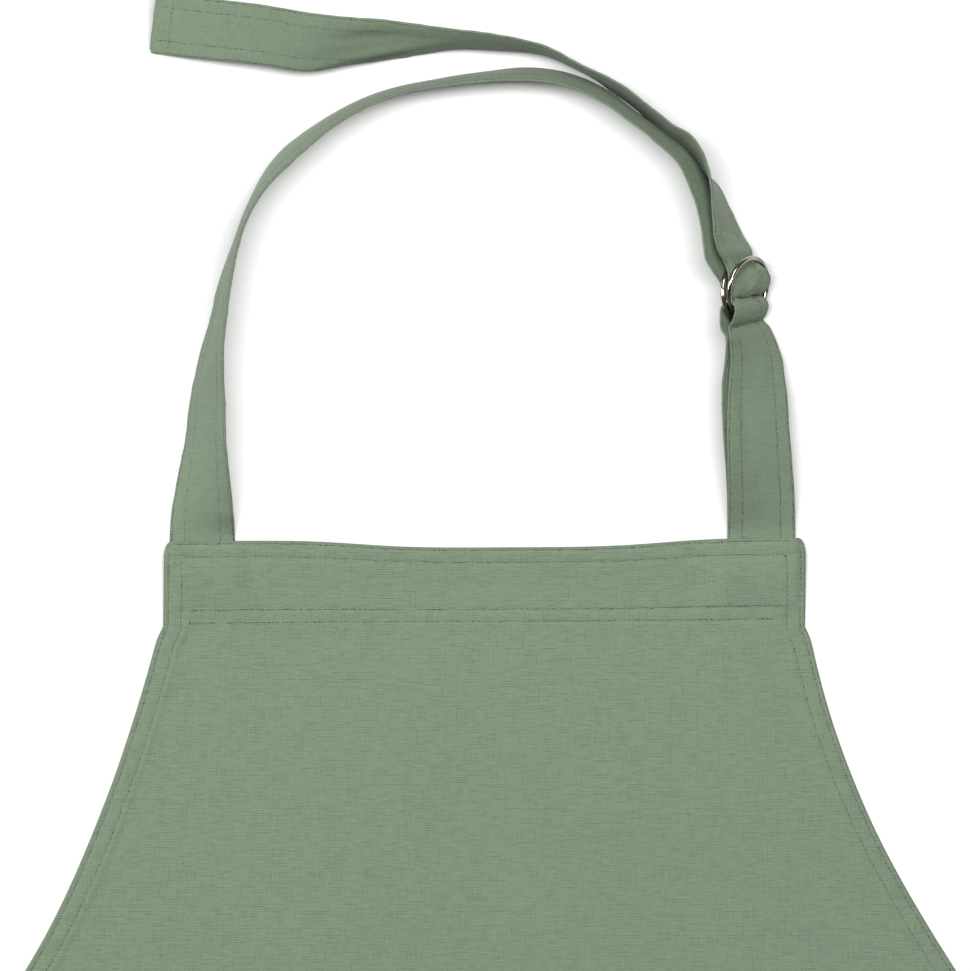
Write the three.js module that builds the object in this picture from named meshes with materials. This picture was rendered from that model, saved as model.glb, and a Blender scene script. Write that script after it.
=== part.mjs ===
import * as THREE from 'three';

// Kitchen apron lying flat, front face up: a bib and skirt of one cloth, a neck strap with a loose end,
// a doubled tab with two rings that grip the strap, and two waist ties.
// Millimetres, +Z up. The layout is drawn with X = 0 on the middle of the bib and Y = 0 at its top edge,
// and the finished group is moved so that the box is centred and stands on Z = 0.

const radians = THREE.MathUtils.degToRad;

// Cloth
const CLOTH = 1.0;
const HEM_RISE = 0.8;
const HEM_WIDTH = 10;
const HEM_STEP = 1.5;
const GAP = 0.3;
const ROUNDING = 0.01;
const SLOPE_STEP = { along: 0.5, across: 0.1 };

// Bib and skirt outline
const BIB_HALF_WIDTH = 147.6;
const TOP_EDGE_MIDDLE = -1.9;
const TOP_EDGE_SAG = 5.6;
const TOP_EDGE_TILT = 0.5;
const BAND_DEPTH = 36;
const ARMHOLE_START = 38;
const ARMHOLE_JOG = 1;
const ARMHOLE_RADIUS = 497;
const ARMHOLE_FIRST_ANGLE = radians(12.3);
const ARMHOLE_LAST_ANGLE = radians(55);
const ARMHOLE_STEPS = 14;
const MIDDLE_COLUMNS = [-0.6, -0.4, -0.2, 0, 0.2, 0.4, 0.6];
const SKIRT_ROWS = [0.25, 0.5, 0.75];
const APRON_LENGTH = 860;
const FOOT_HEM = 22;

// Straps
const STRAP_WIDTH = 30;
const STRAP_THICKNESS = 1.2;
const SEWN_DEPTH = 12;
const TUCK_SLOPE = 4;
const TUCK_RIM = 1;
const NECK_STRAP_X = -130;
const TAB_X = 126.3;
const TIE_DROP = 20;

// Rings
const RING_OUTER_DIAMETER = 30;
const WIRE_DIAMETER = 2.3;
const WIRE_SIDES = 10;
const RING_SIDES = 36;
const RING_ROLL = radians(54);
const RING_LEAN = radians(4);
const UPPER_RING_PITCH = radians(13);
const UPPER_RING_STEP = { along: 2.2, level: 1.5 };
const RING_SEAT = new THREE.Vector3(116, 101.7, 11);
const GRIPPED_WIDTH = 20.5;
const TAB_FRONT_RISE = 3.7;
const TAB_PINCH_LEVEL = 3.3;

// Worked out from the sizes above
const WIRE_RADIUS = WIRE_DIAMETER / 2;
const RING_RADIUS = RING_OUTER_DIAMETER / 2 - WIRE_RADIUS;
const TAB_THICKNESS = 2 * STRAP_THICKNESS + GAP;
const LOWER_WIRE_LEVEL = STRAP_THICKNESS + GAP + WIRE_RADIUS;
const OVER_WIRE_LEVEL = LOWER_WIRE_LEVEL + WIRE_RADIUS + GAP + STRAP_THICKNESS / 2;
const LOWER_WIRE = { along: 0, level: LOWER_WIRE_LEVEL };
const UPPER_WIRE = { along: UPPER_RING_STEP.along, level: LOWER_WIRE_LEVEL + UPPER_RING_STEP.level };
const UNDER_WIRE_LEVEL = STRAP_THICKNESS / 2;
const TAB_FRONT_LEVEL = UPPER_WIRE.level + TAB_FRONT_RISE;
const TUCK_REACH = STRAP_WIDTH / 2 + GAP;
const ARMHOLE_HALF_WIDTH = BIB_HALF_WIDTH + ARMHOLE_JOG;
const WAIST_HALF_WIDTH = armholePoint(ARMHOLE_LAST_ANGLE).half;
const WAIST_DEPTH = armholePoint(ARMHOLE_LAST_ANGLE).depth;
const TIE_DEPTH = WAIST_DEPTH + TIE_DROP;

// Materials
const cloth = () => new THREE.MeshStandardMaterial({ color: 0x84967d, roughness: 0.92, metalness: 0 });
const nickel = () => new THREE.MeshStandardMaterial({ color: 0xc9c4ba, roughness: 0.22, metalness: 1 });

// Neck loop, from the sewn end up the left, over the top and down the right to the rings.
// x and y are the middle of the strap, roll is how far it stands up on its outer edge, in degrees,
// and lift is the height of that edge above the ground.
const NECK_LOOP = [
  { x: NECK_STRAP_X, y: -10, roll: 0 },
  { x: NECK_STRAP_X, y: 4, roll: 0 },
  { x: -129.8, y: 16, roll: 19 },
  { x: -129.2, y: 30, roll: 36 },
  { x: -128.3, y: 48, roll: 51 },
  { x: -127.4, y: 67, roll: 60 },
  { x: -125.7, y: 85, roll: 71 },
  { x: -122.5, y: 104, roll: 77 },
  { x: -118.9, y: 122, roll: 82 },
  { x: -111.8, y: 145, roll: 87 },
  { x: -103.5, y: 163, roll: 83 },
  { x: -94.3, y: 175, roll: 77 },
  { x: -85.1, y: 183.5, roll: 77 },
  { x: -71.3, y: 194.5, roll: 81 },
  { x: -55, y: 203.5, roll: 84 },
  { x: -39, y: 209, roll: 86 },
  { x: -20, y: 212.6, roll: 87 },
  { x: 0, y: 215.4, roll: 83 },
  { x: 18, y: 216.5, roll: 80 },
  { x: 36, y: 214, roll: 79 },
  { x: 53.3, y: 206.9, roll: 79 },
  { x: 67.5, y: 196.6, roll: 81 },
  { x: 80.5, y: 186.6, roll: 80 },
  { x: 91, y: 177.4, roll: 77 },
  { x: 98.5, y: 165, roll: 72 },
  { x: 103.3, y: 154.5, roll: 67 },
  { x: 107, y: 143.5, roll: 60, lift: 0.5 },
  { x: 109.6, y: 133.5, roll: 55, lift: 1.5 },
];

// Loose end, from the rings to its tip. Past a roll of 90 degrees the other face of the strap shows.
const LOOSE_END = [
  { x: 111.6, y: 142, roll: 115, lift: 2.5 },
  { x: 108.4, y: 154, roll: 106, lift: 1 },
  { x: 105.4, y: 164.5, roll: 97, lift: 0.5 },
  { x: 102.3, y: 173, roll: 90 },
  { x: 98, y: 180.5, roll: 85 },
  { x: 92.4, y: 186.2, roll: 80 },
  { x: 86, y: 190.4, roll: 82 },
  { x: 75.5, y: 198.5, roll: 84 },
  { x: 60.5, y: 210, roll: 82 },
  { x: 45, y: 219, roll: 87 },
  { x: 27, y: 227.8, roll: 85 },
  { x: 6, y: 231.6, roll: 80 },
  { x: -13, y: 232.8, roll: 75 },
  { x: -29, y: 232.5, roll: 65 },
  { x: -45, y: 232.3, roll: 54 },
  { x: -63, y: 231.8, roll: 40 },
  { x: -82, y: 232.4, roll: 25 },
  { x: -103, y: 235, roll: 8 },
  { x: -129, y: 238, roll: 0 },
  { x: -152.6, y: 240.8, roll: 0 },
];

// Tab from the rings down to the bib, as the middle between its two layers, which stand apart by a gap.
const TAB_RUN = [
  { x: 122, y: 85.5, roll: 46, lift: 0.5, apart: 0.7 },
  { x: 123.6, y: 75, roll: 37, apart: 1.2 },
  { x: 124.4, y: 60, roll: 29, apart: 1.6 },
  { x: 125.1, y: 42, roll: 22, apart: 1.4 },
  { x: 125.8, y: 22, roll: 12, apart: 0.8 },
  { x: TAB_X, y: 6, roll: 0, apart: GAP },
  { x: TAB_X, y: -10, roll: 0, apart: GAP },
];

// Neck strap at the rings, in the ring frame: under the lower ring and up to its turn, then back over it.
// along is the distance from the lower ring's seat, width the gathered width, arch the rise of the middle
// and shift the way towards the raised edge.
const STRAP_UNDER_RINGS = [
  { along: 24, level: UNDER_WIRE_LEVEL, width: 27, shift: 3.2 },
  { along: 19, level: UNDER_WIRE_LEVEL, width: 22, shift: 0.6 },
];
const STRAP_TURN = { along: 13.8, low: UNDER_WIRE_LEVEL, high: OVER_WIRE_LEVEL, side: -1 };
const STRAP_OVER_RING = [
  { along: 19, level: OVER_WIRE_LEVEL, arch: 1 },
  { along: 26, level: OVER_WIRE_LEVEL, arch: 2.4 },
  { along: 33, level: OVER_WIRE_LEVEL, width: 26, arch: 1.4, shift: 4.4 },
];

// Tab round both rings, in the ring frame: its back layer up to the turn and its front layer down again.
const TAB_BACK = [
  { along: -9, level: TAB_PINCH_LEVEL, width: 28.5, shift: -1.4 },
  { along: -4.5, level: 2.3, width: 25, shift: -1.4 },
  { along: -1, level: 0.7 },
  { along: 3, level: UNDER_WIRE_LEVEL },
];
const TAB_TURN = { along: 6.2, low: UNDER_WIRE_LEVEL, high: TAB_FRONT_LEVEL, side: 1 };
const TAB_FRONT = [
  { along: 2.4, level: TAB_FRONT_LEVEL - 0.4 },
  { along: -1.5, level: TAB_FRONT_LEVEL - 2 },
  { along: -5, level: 5.3, width: 25, shift: -1.4 },
  { along: -9, level: TAB_PINCH_LEVEL + STRAP_THICKNESS + GAP, width: 28.5, shift: -1.4 },
];
const TURN_ANGLES = [-60, -30, 0, 30, 60].map(radians);

// Right waist tie, from the sewn end out of the side hem, round on its edge and down beside the skirt.
// across is measured from the side edge and down from the middle of the sewn end.
const WAIST_TIE = [
  { across: -SEWN_DEPTH, down: 0, roll: 0 },
  { across: 4, down: 0, roll: 0 },
  { across: 24, down: 1, roll: 12 },
  { across: 45, down: 5, roll: 48 },
  { across: 62, down: 15, roll: 73 },
  { across: 73, down: 31, roll: 80 },
  { across: 78, down: 52, roll: 72 },
  { across: 79, down: 78, roll: 45 },
  { across: 78, down: 110, roll: 16 },
  { across: 77, down: 150, roll: 2 },
  { across: 76, down: 250, roll: 0 },
  { across: 78, down: 360, roll: 0 },
  { across: 81, down: 480, roll: 0 },
];

// Half width and depth of the panel on the armhole curve where its edge leans by this angle.
function armholePoint(angle) {
  return {
    half: ARMHOLE_HALF_WIDTH + ARMHOLE_RADIUS * (Math.cos(ARMHOLE_FIRST_ANGLE) - Math.cos(angle)),
    depth: ARMHOLE_START + ARMHOLE_RADIUS * (Math.sin(angle) - Math.sin(ARMHOLE_FIRST_ANGLE)),
  };
}

// Closed wall between two grids of points that share their edges' order.
function wallBetween(front, back) {
  const rows = front.length;
  const columns = front[0].length;
  const points = [...front.flat(), ...back.flat()];
  const triangles = [];
  const quad = (a, b, c, d) => triangles.push(a, b, c, a, c, d);
  const frontAt = (i, j) => i * columns + j;
  const backAt = (i, j) => rows * columns + i * columns + j;
  const end = rows - 1;
  const side = columns - 1;
  for (let i = 0; i < end; i += 1) {
    for (let j = 0; j < side; j += 1) {
      quad(frontAt(i, j), frontAt(i, j + 1), frontAt(i + 1, j + 1), frontAt(i + 1, j));
      quad(backAt(i, j), backAt(i + 1, j), backAt(i + 1, j + 1), backAt(i, j + 1));
    }
    quad(frontAt(i, 0), frontAt(i + 1, 0), backAt(i + 1, 0), backAt(i, 0));
    quad(frontAt(i + 1, side), frontAt(i, side), backAt(i, side), backAt(i + 1, side));
  }
  for (let j = 0; j < side; j += 1) {
    quad(frontAt(0, j + 1), frontAt(0, j), backAt(0, j), backAt(0, j + 1));
    quad(frontAt(end, j), frontAt(end, j + 1), backAt(end, j + 1), backAt(end, j));
  }
  const geometry = new THREE.BufferGeometry().setFromPoints(points);
  geometry.setIndex(facingOut(points, triangles));
  geometry.computeVertexNormals();
  return geometry;
}

// The triangles, turned over if the body they close would be inside out.
function facingOut(points, triangles) {
  let volume = 0;
  for (let k = 0; k < triangles.length; k += 3) {
    const [a, b, c] = [points[triangles[k]], points[triangles[k + 1]], points[triangles[k + 2]]];
    volume += a.dot(new THREE.Vector3().crossVectors(b, c));
  }
  return volume > 0 ? triangles : triangles.reverse();
}

// One cross section of a strap that stands on its outer edge: its two edges and the middle between them.
// layer is 0 for a single strap, -1 for the back one of a pair and 1 for the front one.
function standingSection({ x, y, roll, lift = 0, apart = 0 }, heading, layer) {
  const lean = radians(roll);
  const pile = layer === 0 ? STRAP_THICKNESS : 2 * STRAP_THICKNESS + apart;
  const across = new THREE.Vector3(heading.y, -heading.x, 0).multiplyScalar(Math.cos(lean));
  across.z = Math.sin(lean);
  const normal = new THREE.Vector3().crossVectors(across, heading);
  const height = (STRAP_WIDTH * Math.sin(lean) + pile * Math.abs(Math.cos(lean))) / 2 + lift;
  const offset = (layer * (STRAP_THICKNESS + apart)) / 2;
  const middle = new THREE.Vector3(x, y, height).addScaledVector(normal, offset);
  return sectionAround(middle, across, STRAP_WIDTH, new THREE.Vector3());
}

// Edges and middle of a section from its centre, its direction across and the rise of its middle.
function sectionAround(middle, across, width, arch) {
  return {
    outer: middle.clone().addScaledVector(across, -width / 2),
    middle: middle.clone().add(arch),
    inner: middle.clone().addScaledVector(across, width / 2),
  };
}

// Sections of a whole run of table rows, each turned square to the run.
function standingRun(rows, layer = 0) {
  return rows.map((row, k) => {
    const before = rows[Math.max(k - 1, 0)];
    const after = rows[Math.min(k + 1, rows.length - 1)];
    const heading = new THREE.Vector3(after.x - before.x, after.y - before.y, 0).normalize();
    return standingSection(row, heading, layer);
  });
}

// A strap of even thickness through its sections, on smooth rails along its edges and its middle.
function strapThrough(sections, { stepsPerSection, columns }) {
  const rail = (key) => new THREE.CatmullRomCurve3(sections.map((section) => section[key]));
  const rails = { outer: rail('outer'), middle: rail('middle'), inner: rail('inner') };
  const steps = (sections.length - 1) * stepsPerSection;
  // Point of the middle surface at step i, with q from -1 on the outer edge to 1 on the inner one
  const surface = (i, q) => {
    const t = THREE.MathUtils.clamp(i / steps, 0, 1);
    const point = rails.middle.getPoint(t).multiplyScalar(1 - q * q);
    point.addScaledVector(rails.outer.getPoint(t), (q * q - q) / 2);
    return point.addScaledVector(rails.inner.getPoint(t), (q * q + q) / 2);
  };
  const facePoint = (i, q, sign) => {
    const along = surface(i + SLOPE_STEP.along, q).sub(surface(i - SLOPE_STEP.along, q));
    const across = surface(i, q + SLOPE_STEP.across).sub(surface(i, q - SLOPE_STEP.across));
    const normal = new THREE.Vector3().crossVectors(across, along).normalize();
    const point = surface(i, q).addScaledVector(normal, (sign * STRAP_THICKNESS) / 2);
    point.z = Math.max(point.z, 0);
    return point;
  };
  const face = (sign) =>
    Array.from({ length: steps + 1 }, (_, i) =>
      Array.from({ length: columns }, (__, j) => facePoint(i, (2 * j) / (columns - 1) - 1, sign)),
    );
  return wallBetween(face(1), face(-1));
}

// Ring frame: along the tab towards the neck, across it from the low side to the raised side, and out.
function ringFrame() {
  const along = new THREE.Vector3(-Math.sin(RING_LEAN), Math.cos(RING_LEAN), 0);
  const outside = new THREE.Vector3(along.y, -along.x, 0);
  const across = outside.clone().multiplyScalar(-Math.cos(RING_ROLL));
  across.z = Math.sin(RING_ROLL);
  const out = new THREE.Vector3().crossVectors(along, across);
  return { along, across, out };
}

// A section of strap in the ring frame, at a distance along the tab and a level above its underside.
function ringSection({ along, level, width = GRIPPED_WIDTH, arch = 0, shift = 0 }) {
  const frame = ringFrame();
  const middle = RING_SEAT.clone();
  middle.addScaledVector(frame.along, along);
  middle.addScaledVector(frame.out, level);
  middle.addScaledVector(frame.across, shift);
  return sectionAround(middle, frame.across, width, frame.out.clone().multiplyScalar(arch));
}

// Half turn of a strap in the ring frame, from its low level to its high one, bulging by side (1 or -1).
function ringTurn({ along, low, high, side }) {
  const radius = (high - low) / 2;
  return TURN_ANGLES.map((angle) =>
    ringSection({
      along: along + side * radius * Math.cos(angle),
      level: (low + high) / 2 + radius * Math.sin(angle),
    }),
  );
}

// Panel rows from the bib's top edge to the foot: the half width and the depth below the top edge.
function panelRows() {
  const bib = [0, SEWN_DEPTH + GAP, SEWN_DEPTH + TUCK_SLOPE, BAND_DEPTH, BAND_DEPTH + HEM_STEP];
  const rows = bib.map((depth) => ({ half: BIB_HALF_WIDTH, depth }));
  for (let k = 0; k <= ARMHOLE_STEPS; k += 1) {
    const share = k / ARMHOLE_STEPS;
    rows.push(armholePoint(THREE.MathUtils.lerp(ARMHOLE_FIRST_ANGLE, ARMHOLE_LAST_ANGLE, share)));
  }
  const tieEdges = [-TUCK_REACH - TUCK_SLOPE, -TUCK_REACH, TUCK_REACH, TUCK_REACH + TUCK_SLOPE];
  const skirt = [
    ...tieEdges.map((offset) => TIE_DEPTH + offset),
    ...SKIRT_ROWS.map((share) => THREE.MathUtils.lerp(TIE_DEPTH, APRON_LENGTH, share)),
    ...[FOOT_HEM + HEM_STEP, FOOT_HEM, 0].map((above) => APRON_LENGTH - above),
  ];
  rows.push(...skirt.map((depth) => ({ half: WAIST_HALF_WIDTH, depth })));
  return rows;
}

// Panel columns: a share of the half width and a distance in from that side's edge.
function panelColumns() {
  const strap = BIB_HALF_WIDTH + NECK_STRAP_X;
  const tab = BIB_HALF_WIDTH - TAB_X;
  const hem = [HEM_WIDTH, HEM_WIDTH + HEM_STEP, SEWN_DEPTH + GAP, SEWN_DEPTH + TUCK_SLOPE];
  const innerEdges = (middle) => [middle + TUCK_REACH, middle + TUCK_REACH + TUCK_SLOPE];
  const left = [0, TUCK_RIM, strap - TUCK_REACH, ...hem, ...innerEdges(strap)];
  const right = [0, TUCK_RIM, tab - TUCK_REACH, ...hem, ...innerEdges(tab)];
  return [
    ...left.map((inset) => ({ share: -1, inset })),
    ...MIDDLE_COLUMNS.map((share) => ({ share, inset: 0 })),
    ...right.reverse().map((inset) => ({ share: 1, inset: -inset })),
  ];
}

// How far the sewn ends lift the cloth that lies over them.
function tuckLift(x, row) {
  const reach = TUCK_REACH + ROUNDING;
  const depth = SEWN_DEPTH + GAP + ROUNDING;
  const inBand = row.depth <= depth;
  const overTie = Math.abs(row.depth - TIE_DEPTH) <= reach && row.half - Math.abs(x) <= depth;
  if (inBand && Math.abs(x - TAB_X) <= reach) return TAB_THICKNESS + GAP;
  if (inBand && Math.abs(x - NECK_STRAP_X) <= reach) return STRAP_THICKNESS + GAP;
  return overTie ? STRAP_THICKNESS + GAP : 0;
}

// How far the turned hems stand above the single cloth.
function hemRise(x, row) {
  const inSideHem = row.half - Math.abs(x) <= HEM_WIDTH + ROUNDING;
  const inBand = row.depth <= BAND_DEPTH;
  const inFootHem = row.depth >= APRON_LENGTH - FOOT_HEM;
  return inSideHem || inBand || inFootHem ? HEM_RISE : 0;
}

// Level of the bib's top edge, which sags between its corners.
function topEdge(x) {
  const share = x / BIB_HALF_WIDTH;
  return TOP_EDGE_MIDDLE + TOP_EDGE_SAG * share * share + TOP_EDGE_TILT * share;
}

// Bib and skirt as one sheet, its top edge's sag fading out over the band.
function panelGeometry() {
  const columns = panelColumns();
  const grid = (heightAt) =>
    panelRows().map((row) => {
      const fade = Math.max(0, 1 - row.depth / BAND_DEPTH);
      return columns.map(({ share, inset }) => {
        const x = share * row.half + inset;
        return new THREE.Vector3(x, topEdge(x) * fade - row.depth, heightAt(x, row));
      });
    });
  const top = grid((x, row) => tuckLift(x, row) + CLOTH + hemRise(x, row));
  return wallBetween(top, grid(tuckLift));
}

// Neck loop, its passage through the rings and its loose end, as one strap.
function neckStrapGeometry() {
  const sections = [
    ...standingRun(NECK_LOOP),
    ...STRAP_UNDER_RINGS.map(ringSection),
    ...ringTurn(STRAP_TURN),
    ...STRAP_OVER_RING.map(ringSection),
    ...standingRun(LOOSE_END),
  ];
  return strapThrough(sections, { stepsPerSection: 2, columns: 5 });
}

// Doubled tab: up the back layer, round the rings and down the front layer.
function ringTabGeometry() {
  const sections = [
    ...standingRun(TAB_RUN, -1).reverse(),
    ...TAB_BACK.map(ringSection),
    ...ringTurn(TAB_TURN),
    ...TAB_FRONT.map(ringSection),
    ...standingRun(TAB_RUN, 1),
  ];
  return strapThrough(sections, { stepsPerSection: 3, columns: 5 });
}

// Waist tie on one side, 1 for the right and -1 for its mirror on the left.
function waistTieGeometry(side) {
  const rows = WAIST_TIE.map(({ across, down, roll }) => ({
    x: side * (WAIST_HALF_WIDTH + across),
    y: -(TIE_DEPTH + down),
    roll: side > 0 ? roll : 180 - roll,
  }));
  return strapThrough(standingRun(rows), { stepsPerSection: 3, columns: 3 });
}

// A ring whose near side is seated at a point of the ring frame, pitched up towards its far side.
function ringMesh(name, seat, pitch) {
  const geometry = new THREE.TorusGeometry(RING_RADIUS, WIRE_RADIUS, WIRE_SIDES, RING_SIDES);
  const mesh = named(name, geometry, nickel());
  mesh.rotation.y = -pitch;
  mesh.position.x = seat.along + RING_RADIUS * Math.cos(pitch);
  mesh.position.z = seat.level + RING_RADIUS * Math.sin(pitch);
  return mesh;
}

// A mesh that carries the node's name.
function named(name, geometry, material) {
  const mesh = new THREE.Mesh(geometry, material);
  mesh.name = name;
  return mesh;
}

// Both rings, seated in the tab.
function ringPair() {
  const frame = ringFrame();
  const pair = new THREE.Group();
  pair.add(ringMesh('ring_lower', LOWER_WIRE, 0));
  pair.add(ringMesh('ring_upper', UPPER_WIRE, UPPER_RING_PITCH));
  const turn = new THREE.Matrix4().makeBasis(frame.along, frame.across, frame.out);
  pair.quaternion.setFromRotationMatrix(turn);
  pair.position.copy(RING_SEAT);
  return pair;
}

const apron = new THREE.Group();
apron.add(named('apron_panel', panelGeometry(), cloth()));
apron.add(named('neck_strap', neckStrapGeometry(), cloth()));
apron.add(named('ring_tab', ringTabGeometry(), cloth()));
apron.add(ringPair());
apron.add(named('waist_tie_left', waistTieGeometry(-1), cloth()));
apron.add(named('waist_tie_right', waistTieGeometry(1), cloth()));

const box = new THREE.Box3().setFromObject(apron, true);
const centre = box.getCenter(new THREE.Vector3());
apron.position.set(-centre.x, -centre.y, -box.min.z);

const part = new THREE.Group();
part.add(apron);

export default part;
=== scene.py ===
"""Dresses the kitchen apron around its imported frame.

The apron lies front face up on a pale floor. Sizes are millimetres in the apron's own layout, with X = 0 on
the middle of the bib and Y = 0 at its top edge, and each finished mesh is placed in the frame in metres.
"""

import logging
import math
from dataclasses import dataclass, field
from enum import Enum
from typing import NamedTuple

import bpy
import numpy as np
from numpy.typing import NDArray
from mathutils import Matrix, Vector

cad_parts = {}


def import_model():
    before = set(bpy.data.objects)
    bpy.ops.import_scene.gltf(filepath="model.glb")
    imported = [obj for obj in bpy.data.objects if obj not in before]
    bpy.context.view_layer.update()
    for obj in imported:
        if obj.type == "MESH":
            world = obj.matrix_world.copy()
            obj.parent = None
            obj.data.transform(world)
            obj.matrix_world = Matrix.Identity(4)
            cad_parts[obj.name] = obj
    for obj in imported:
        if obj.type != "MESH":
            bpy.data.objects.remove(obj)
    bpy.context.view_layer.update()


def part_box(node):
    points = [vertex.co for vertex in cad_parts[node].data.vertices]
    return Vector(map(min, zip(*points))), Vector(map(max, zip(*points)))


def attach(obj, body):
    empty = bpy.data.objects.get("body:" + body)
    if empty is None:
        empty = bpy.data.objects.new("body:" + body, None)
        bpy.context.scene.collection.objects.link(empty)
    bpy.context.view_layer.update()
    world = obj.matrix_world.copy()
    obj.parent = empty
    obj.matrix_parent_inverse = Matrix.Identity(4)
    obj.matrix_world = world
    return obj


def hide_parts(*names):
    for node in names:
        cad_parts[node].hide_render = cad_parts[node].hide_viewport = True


Array = NDArray[np.float64]
Pair = tuple[float, float]
Triple = tuple[float, float, float]
Colour = tuple[float, float, float, float]
Object = bpy.types.Object
Material = bpy.types.Material
Node = bpy.types.Node
Socket = bpy.types.NodeSocket

MM = 0.001
TURN = 2.0 * np.pi
PHOTO_HEIGHT_PIXELS = 971
MM_PER_PIXEL = 0.46
BODY = "root"
LOG = logging.getLogger("apron")


class Face(Enum):
    """Which face of a cloth is meant."""

    FRONT = 1
    BACK = -1


class Side(Enum):
    """Which side of the apron is meant, as seen from above with the bib up."""

    LEFT = -1
    RIGHT = 1


class Slot(Enum):
    """Kinds of material; the two cloth kinds pick a piece's cloth."""

    APRON = "apron_cloth"
    STRAP = "strap_cloth"
    METAL = "ring_metal"


class Station(NamedTuple):
    """A place on a strap's route: the middle of the strap and how it stands there.

    roll is how far the strap stands up on its outer edge in degrees, lift the height of that edge above the
    floor, curl how far its middle bows out of the flat and apart the gap between two layers of strap.
    """

    x: float
    y: float
    roll: float
    lift: float = 0.0
    curl: float = 0.0
    apart: float = 0.0


class RingStation(NamedTuple):
    """A section of a strap in the rings: points along the tab, across to its raised edge and out of it."""

    outer: Triple
    middle: Triple
    inner: Triple


class RingPose(NamedTuple):
    """A ring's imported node, where its near side sits along and above the ring frame, and its turns."""

    node: str
    along: float
    level: float
    roll: float
    pitch: float


class SeamGroup(NamedTuple):
    """Stitch lines side by side: distances from the edge, and seed, height and reach of their puckers."""

    lines: Pair
    seed: int
    pucker: float
    reach: float


class Crease(NamedTuple):
    """A soft fold pressed into a cloth, as a hill or a dip with a long and a short radius.

    at is a station number on a strap or a depth on the panel, across a share of the strap's half width or a
    place across the panel, and turn the angle of the long axis in degrees.
    """

    at: float
    across: float
    long: float
    wide: float
    turn: float
    height: float

    def height_at(self, ahead: Array, aside: Array) -> Array:
        """Height at distances along and across the cloth: two bell curves along the fold's turned axes."""
        turned = (ahead + 1j * aside) * np.exp(-1j * math.radians(self.turn))
        return self.height * np.exp(-((turned.real / self.long) ** 2) - (turned.imag / self.wide) ** 2)


def smooth_step(value: Array, width: float) -> Array:
    """Ease from 0 at zero to 1 at the given width with the cubic 3t² - 2t³."""
    share = np.clip(value / width, 0.0, 1.0)
    return share * share * (3.0 - 2.0 * share)


def bell(value: Array, width: float) -> Array:
    """Bell curve exp(-(value / width)²)."""
    return np.exp(-((value / width) ** 2))


def quarter_round(share: Array) -> Array:
    """Quarter circle sqrt(1 - (1 - share)²), from 0 at zero to 1 at one."""
    return np.sqrt(1.0 - (1.0 - np.clip(share, 0.0, 1.0)) ** 2)


def ripple(run: Array, waves: Pair, seed: int) -> Array:
    """Uneven wave along a seam: five sines of graded lengths, each with its own phase.

    Args:
        run: Distances along the seam.
        waves: Shortest and longest wave length.
        seed: Seed of the phases.

    Returns:
        A wave of about -1 to 1 for each distance.
    """
    count, highest = 5, 3.0
    lengths = np.geomspace(*waves, count)
    phases = np.random.default_rng(seed).uniform(0.0, TURN, count)
    return np.sin(TURN * np.asarray(run)[..., None] / lengths + phases).sum(-1) / highest


def unit(vectors: Array) -> Array:
    """Vectors scaled to length one along the last axis."""
    return vectors / np.maximum(np.linalg.norm(vectors, axis=-1, keepdims=True), 1e-12)


def path_lengths(points: Array) -> Array:
    """Distances of the points of a path from its start, along the path."""
    return np.concatenate([[0.0], np.cumsum(np.linalg.norm(np.diff(points, axis=0), axis=1))])


def catmull_rom(points: Array, at: Array) -> Array:
    """Smooth curve through points, with tangents that allow for uneven spacing.

    Each stretch is the cubic x1 + t·m1 + t²(3d - 2m1 - m2) + t³(m1 + m2 - 2d), where d is the step between
    its two points and the tangents m weigh the neighbouring steps by the square roots of their lengths.

    Args:
        points: Points to pass through, one per row.
        at: Places on the curve, from 0 at the first point to n - 1 at the last.

    Returns:
        One point for each place.
    """
    ends = np.vstack([2 * points[0] - points[1], points, 2 * points[-1] - points[-2]])
    index = np.clip(np.floor(at).astype(int), 0, len(points) - 2)
    share = (at - index)[:, None]
    x0, x1, x2, x3 = (ends[index + k] for k in range(4))
    steps = (x1 - x0, x2 - x1, x3 - x2)
    d0, d1, d2 = (np.sqrt(np.linalg.norm(step, axis=1))[:, None] for step in steps)
    m1 = d1 * ((x1 - x0) / d0 - (x2 - x0) / (d0 + d1) + (x2 - x1) / d1)
    m2 = d1 * ((x2 - x1) / d1 - (x3 - x1) / (d1 + d2) + (x3 - x2) / d2)
    step = x2 - x1
    return x1 + share * (m1 + share * (3 * step - 2 * m1 - m2 + share * (m1 + m2 - 2 * step)))


def linear(*display: int) -> Colour:
    """Linear colour with an alpha of one, from a display's eight-bit values by the sRGB curve."""
    shares = np.array(display) / 255.0
    return (*np.where(shares <= 0.04045, shares / 12.92, ((shares + 0.055) / 1.055) ** 2.4).tolist(), 1.0)


@dataclass(frozen=True)
class Layout:
    """Where the apron's own layout stands in the frame.

    Attributes:
        origin: Place of the layout's zero in metres.
    """

    origin: Triple

    @classmethod
    def from_frame(cls, apron_length: float) -> "Layout":
        """Find the layout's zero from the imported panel, whose foot lies an apron's length below it."""
        lowest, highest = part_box("apron_panel")
        return cls(((lowest.x + highest.x) / 2, lowest.y + apron_length * MM, lowest.z))

    def place(self, points: Array) -> Array:
        """Points of the layout in millimetres as points of the frame in metres."""
        return points * MM + np.array(self.origin)


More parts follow.
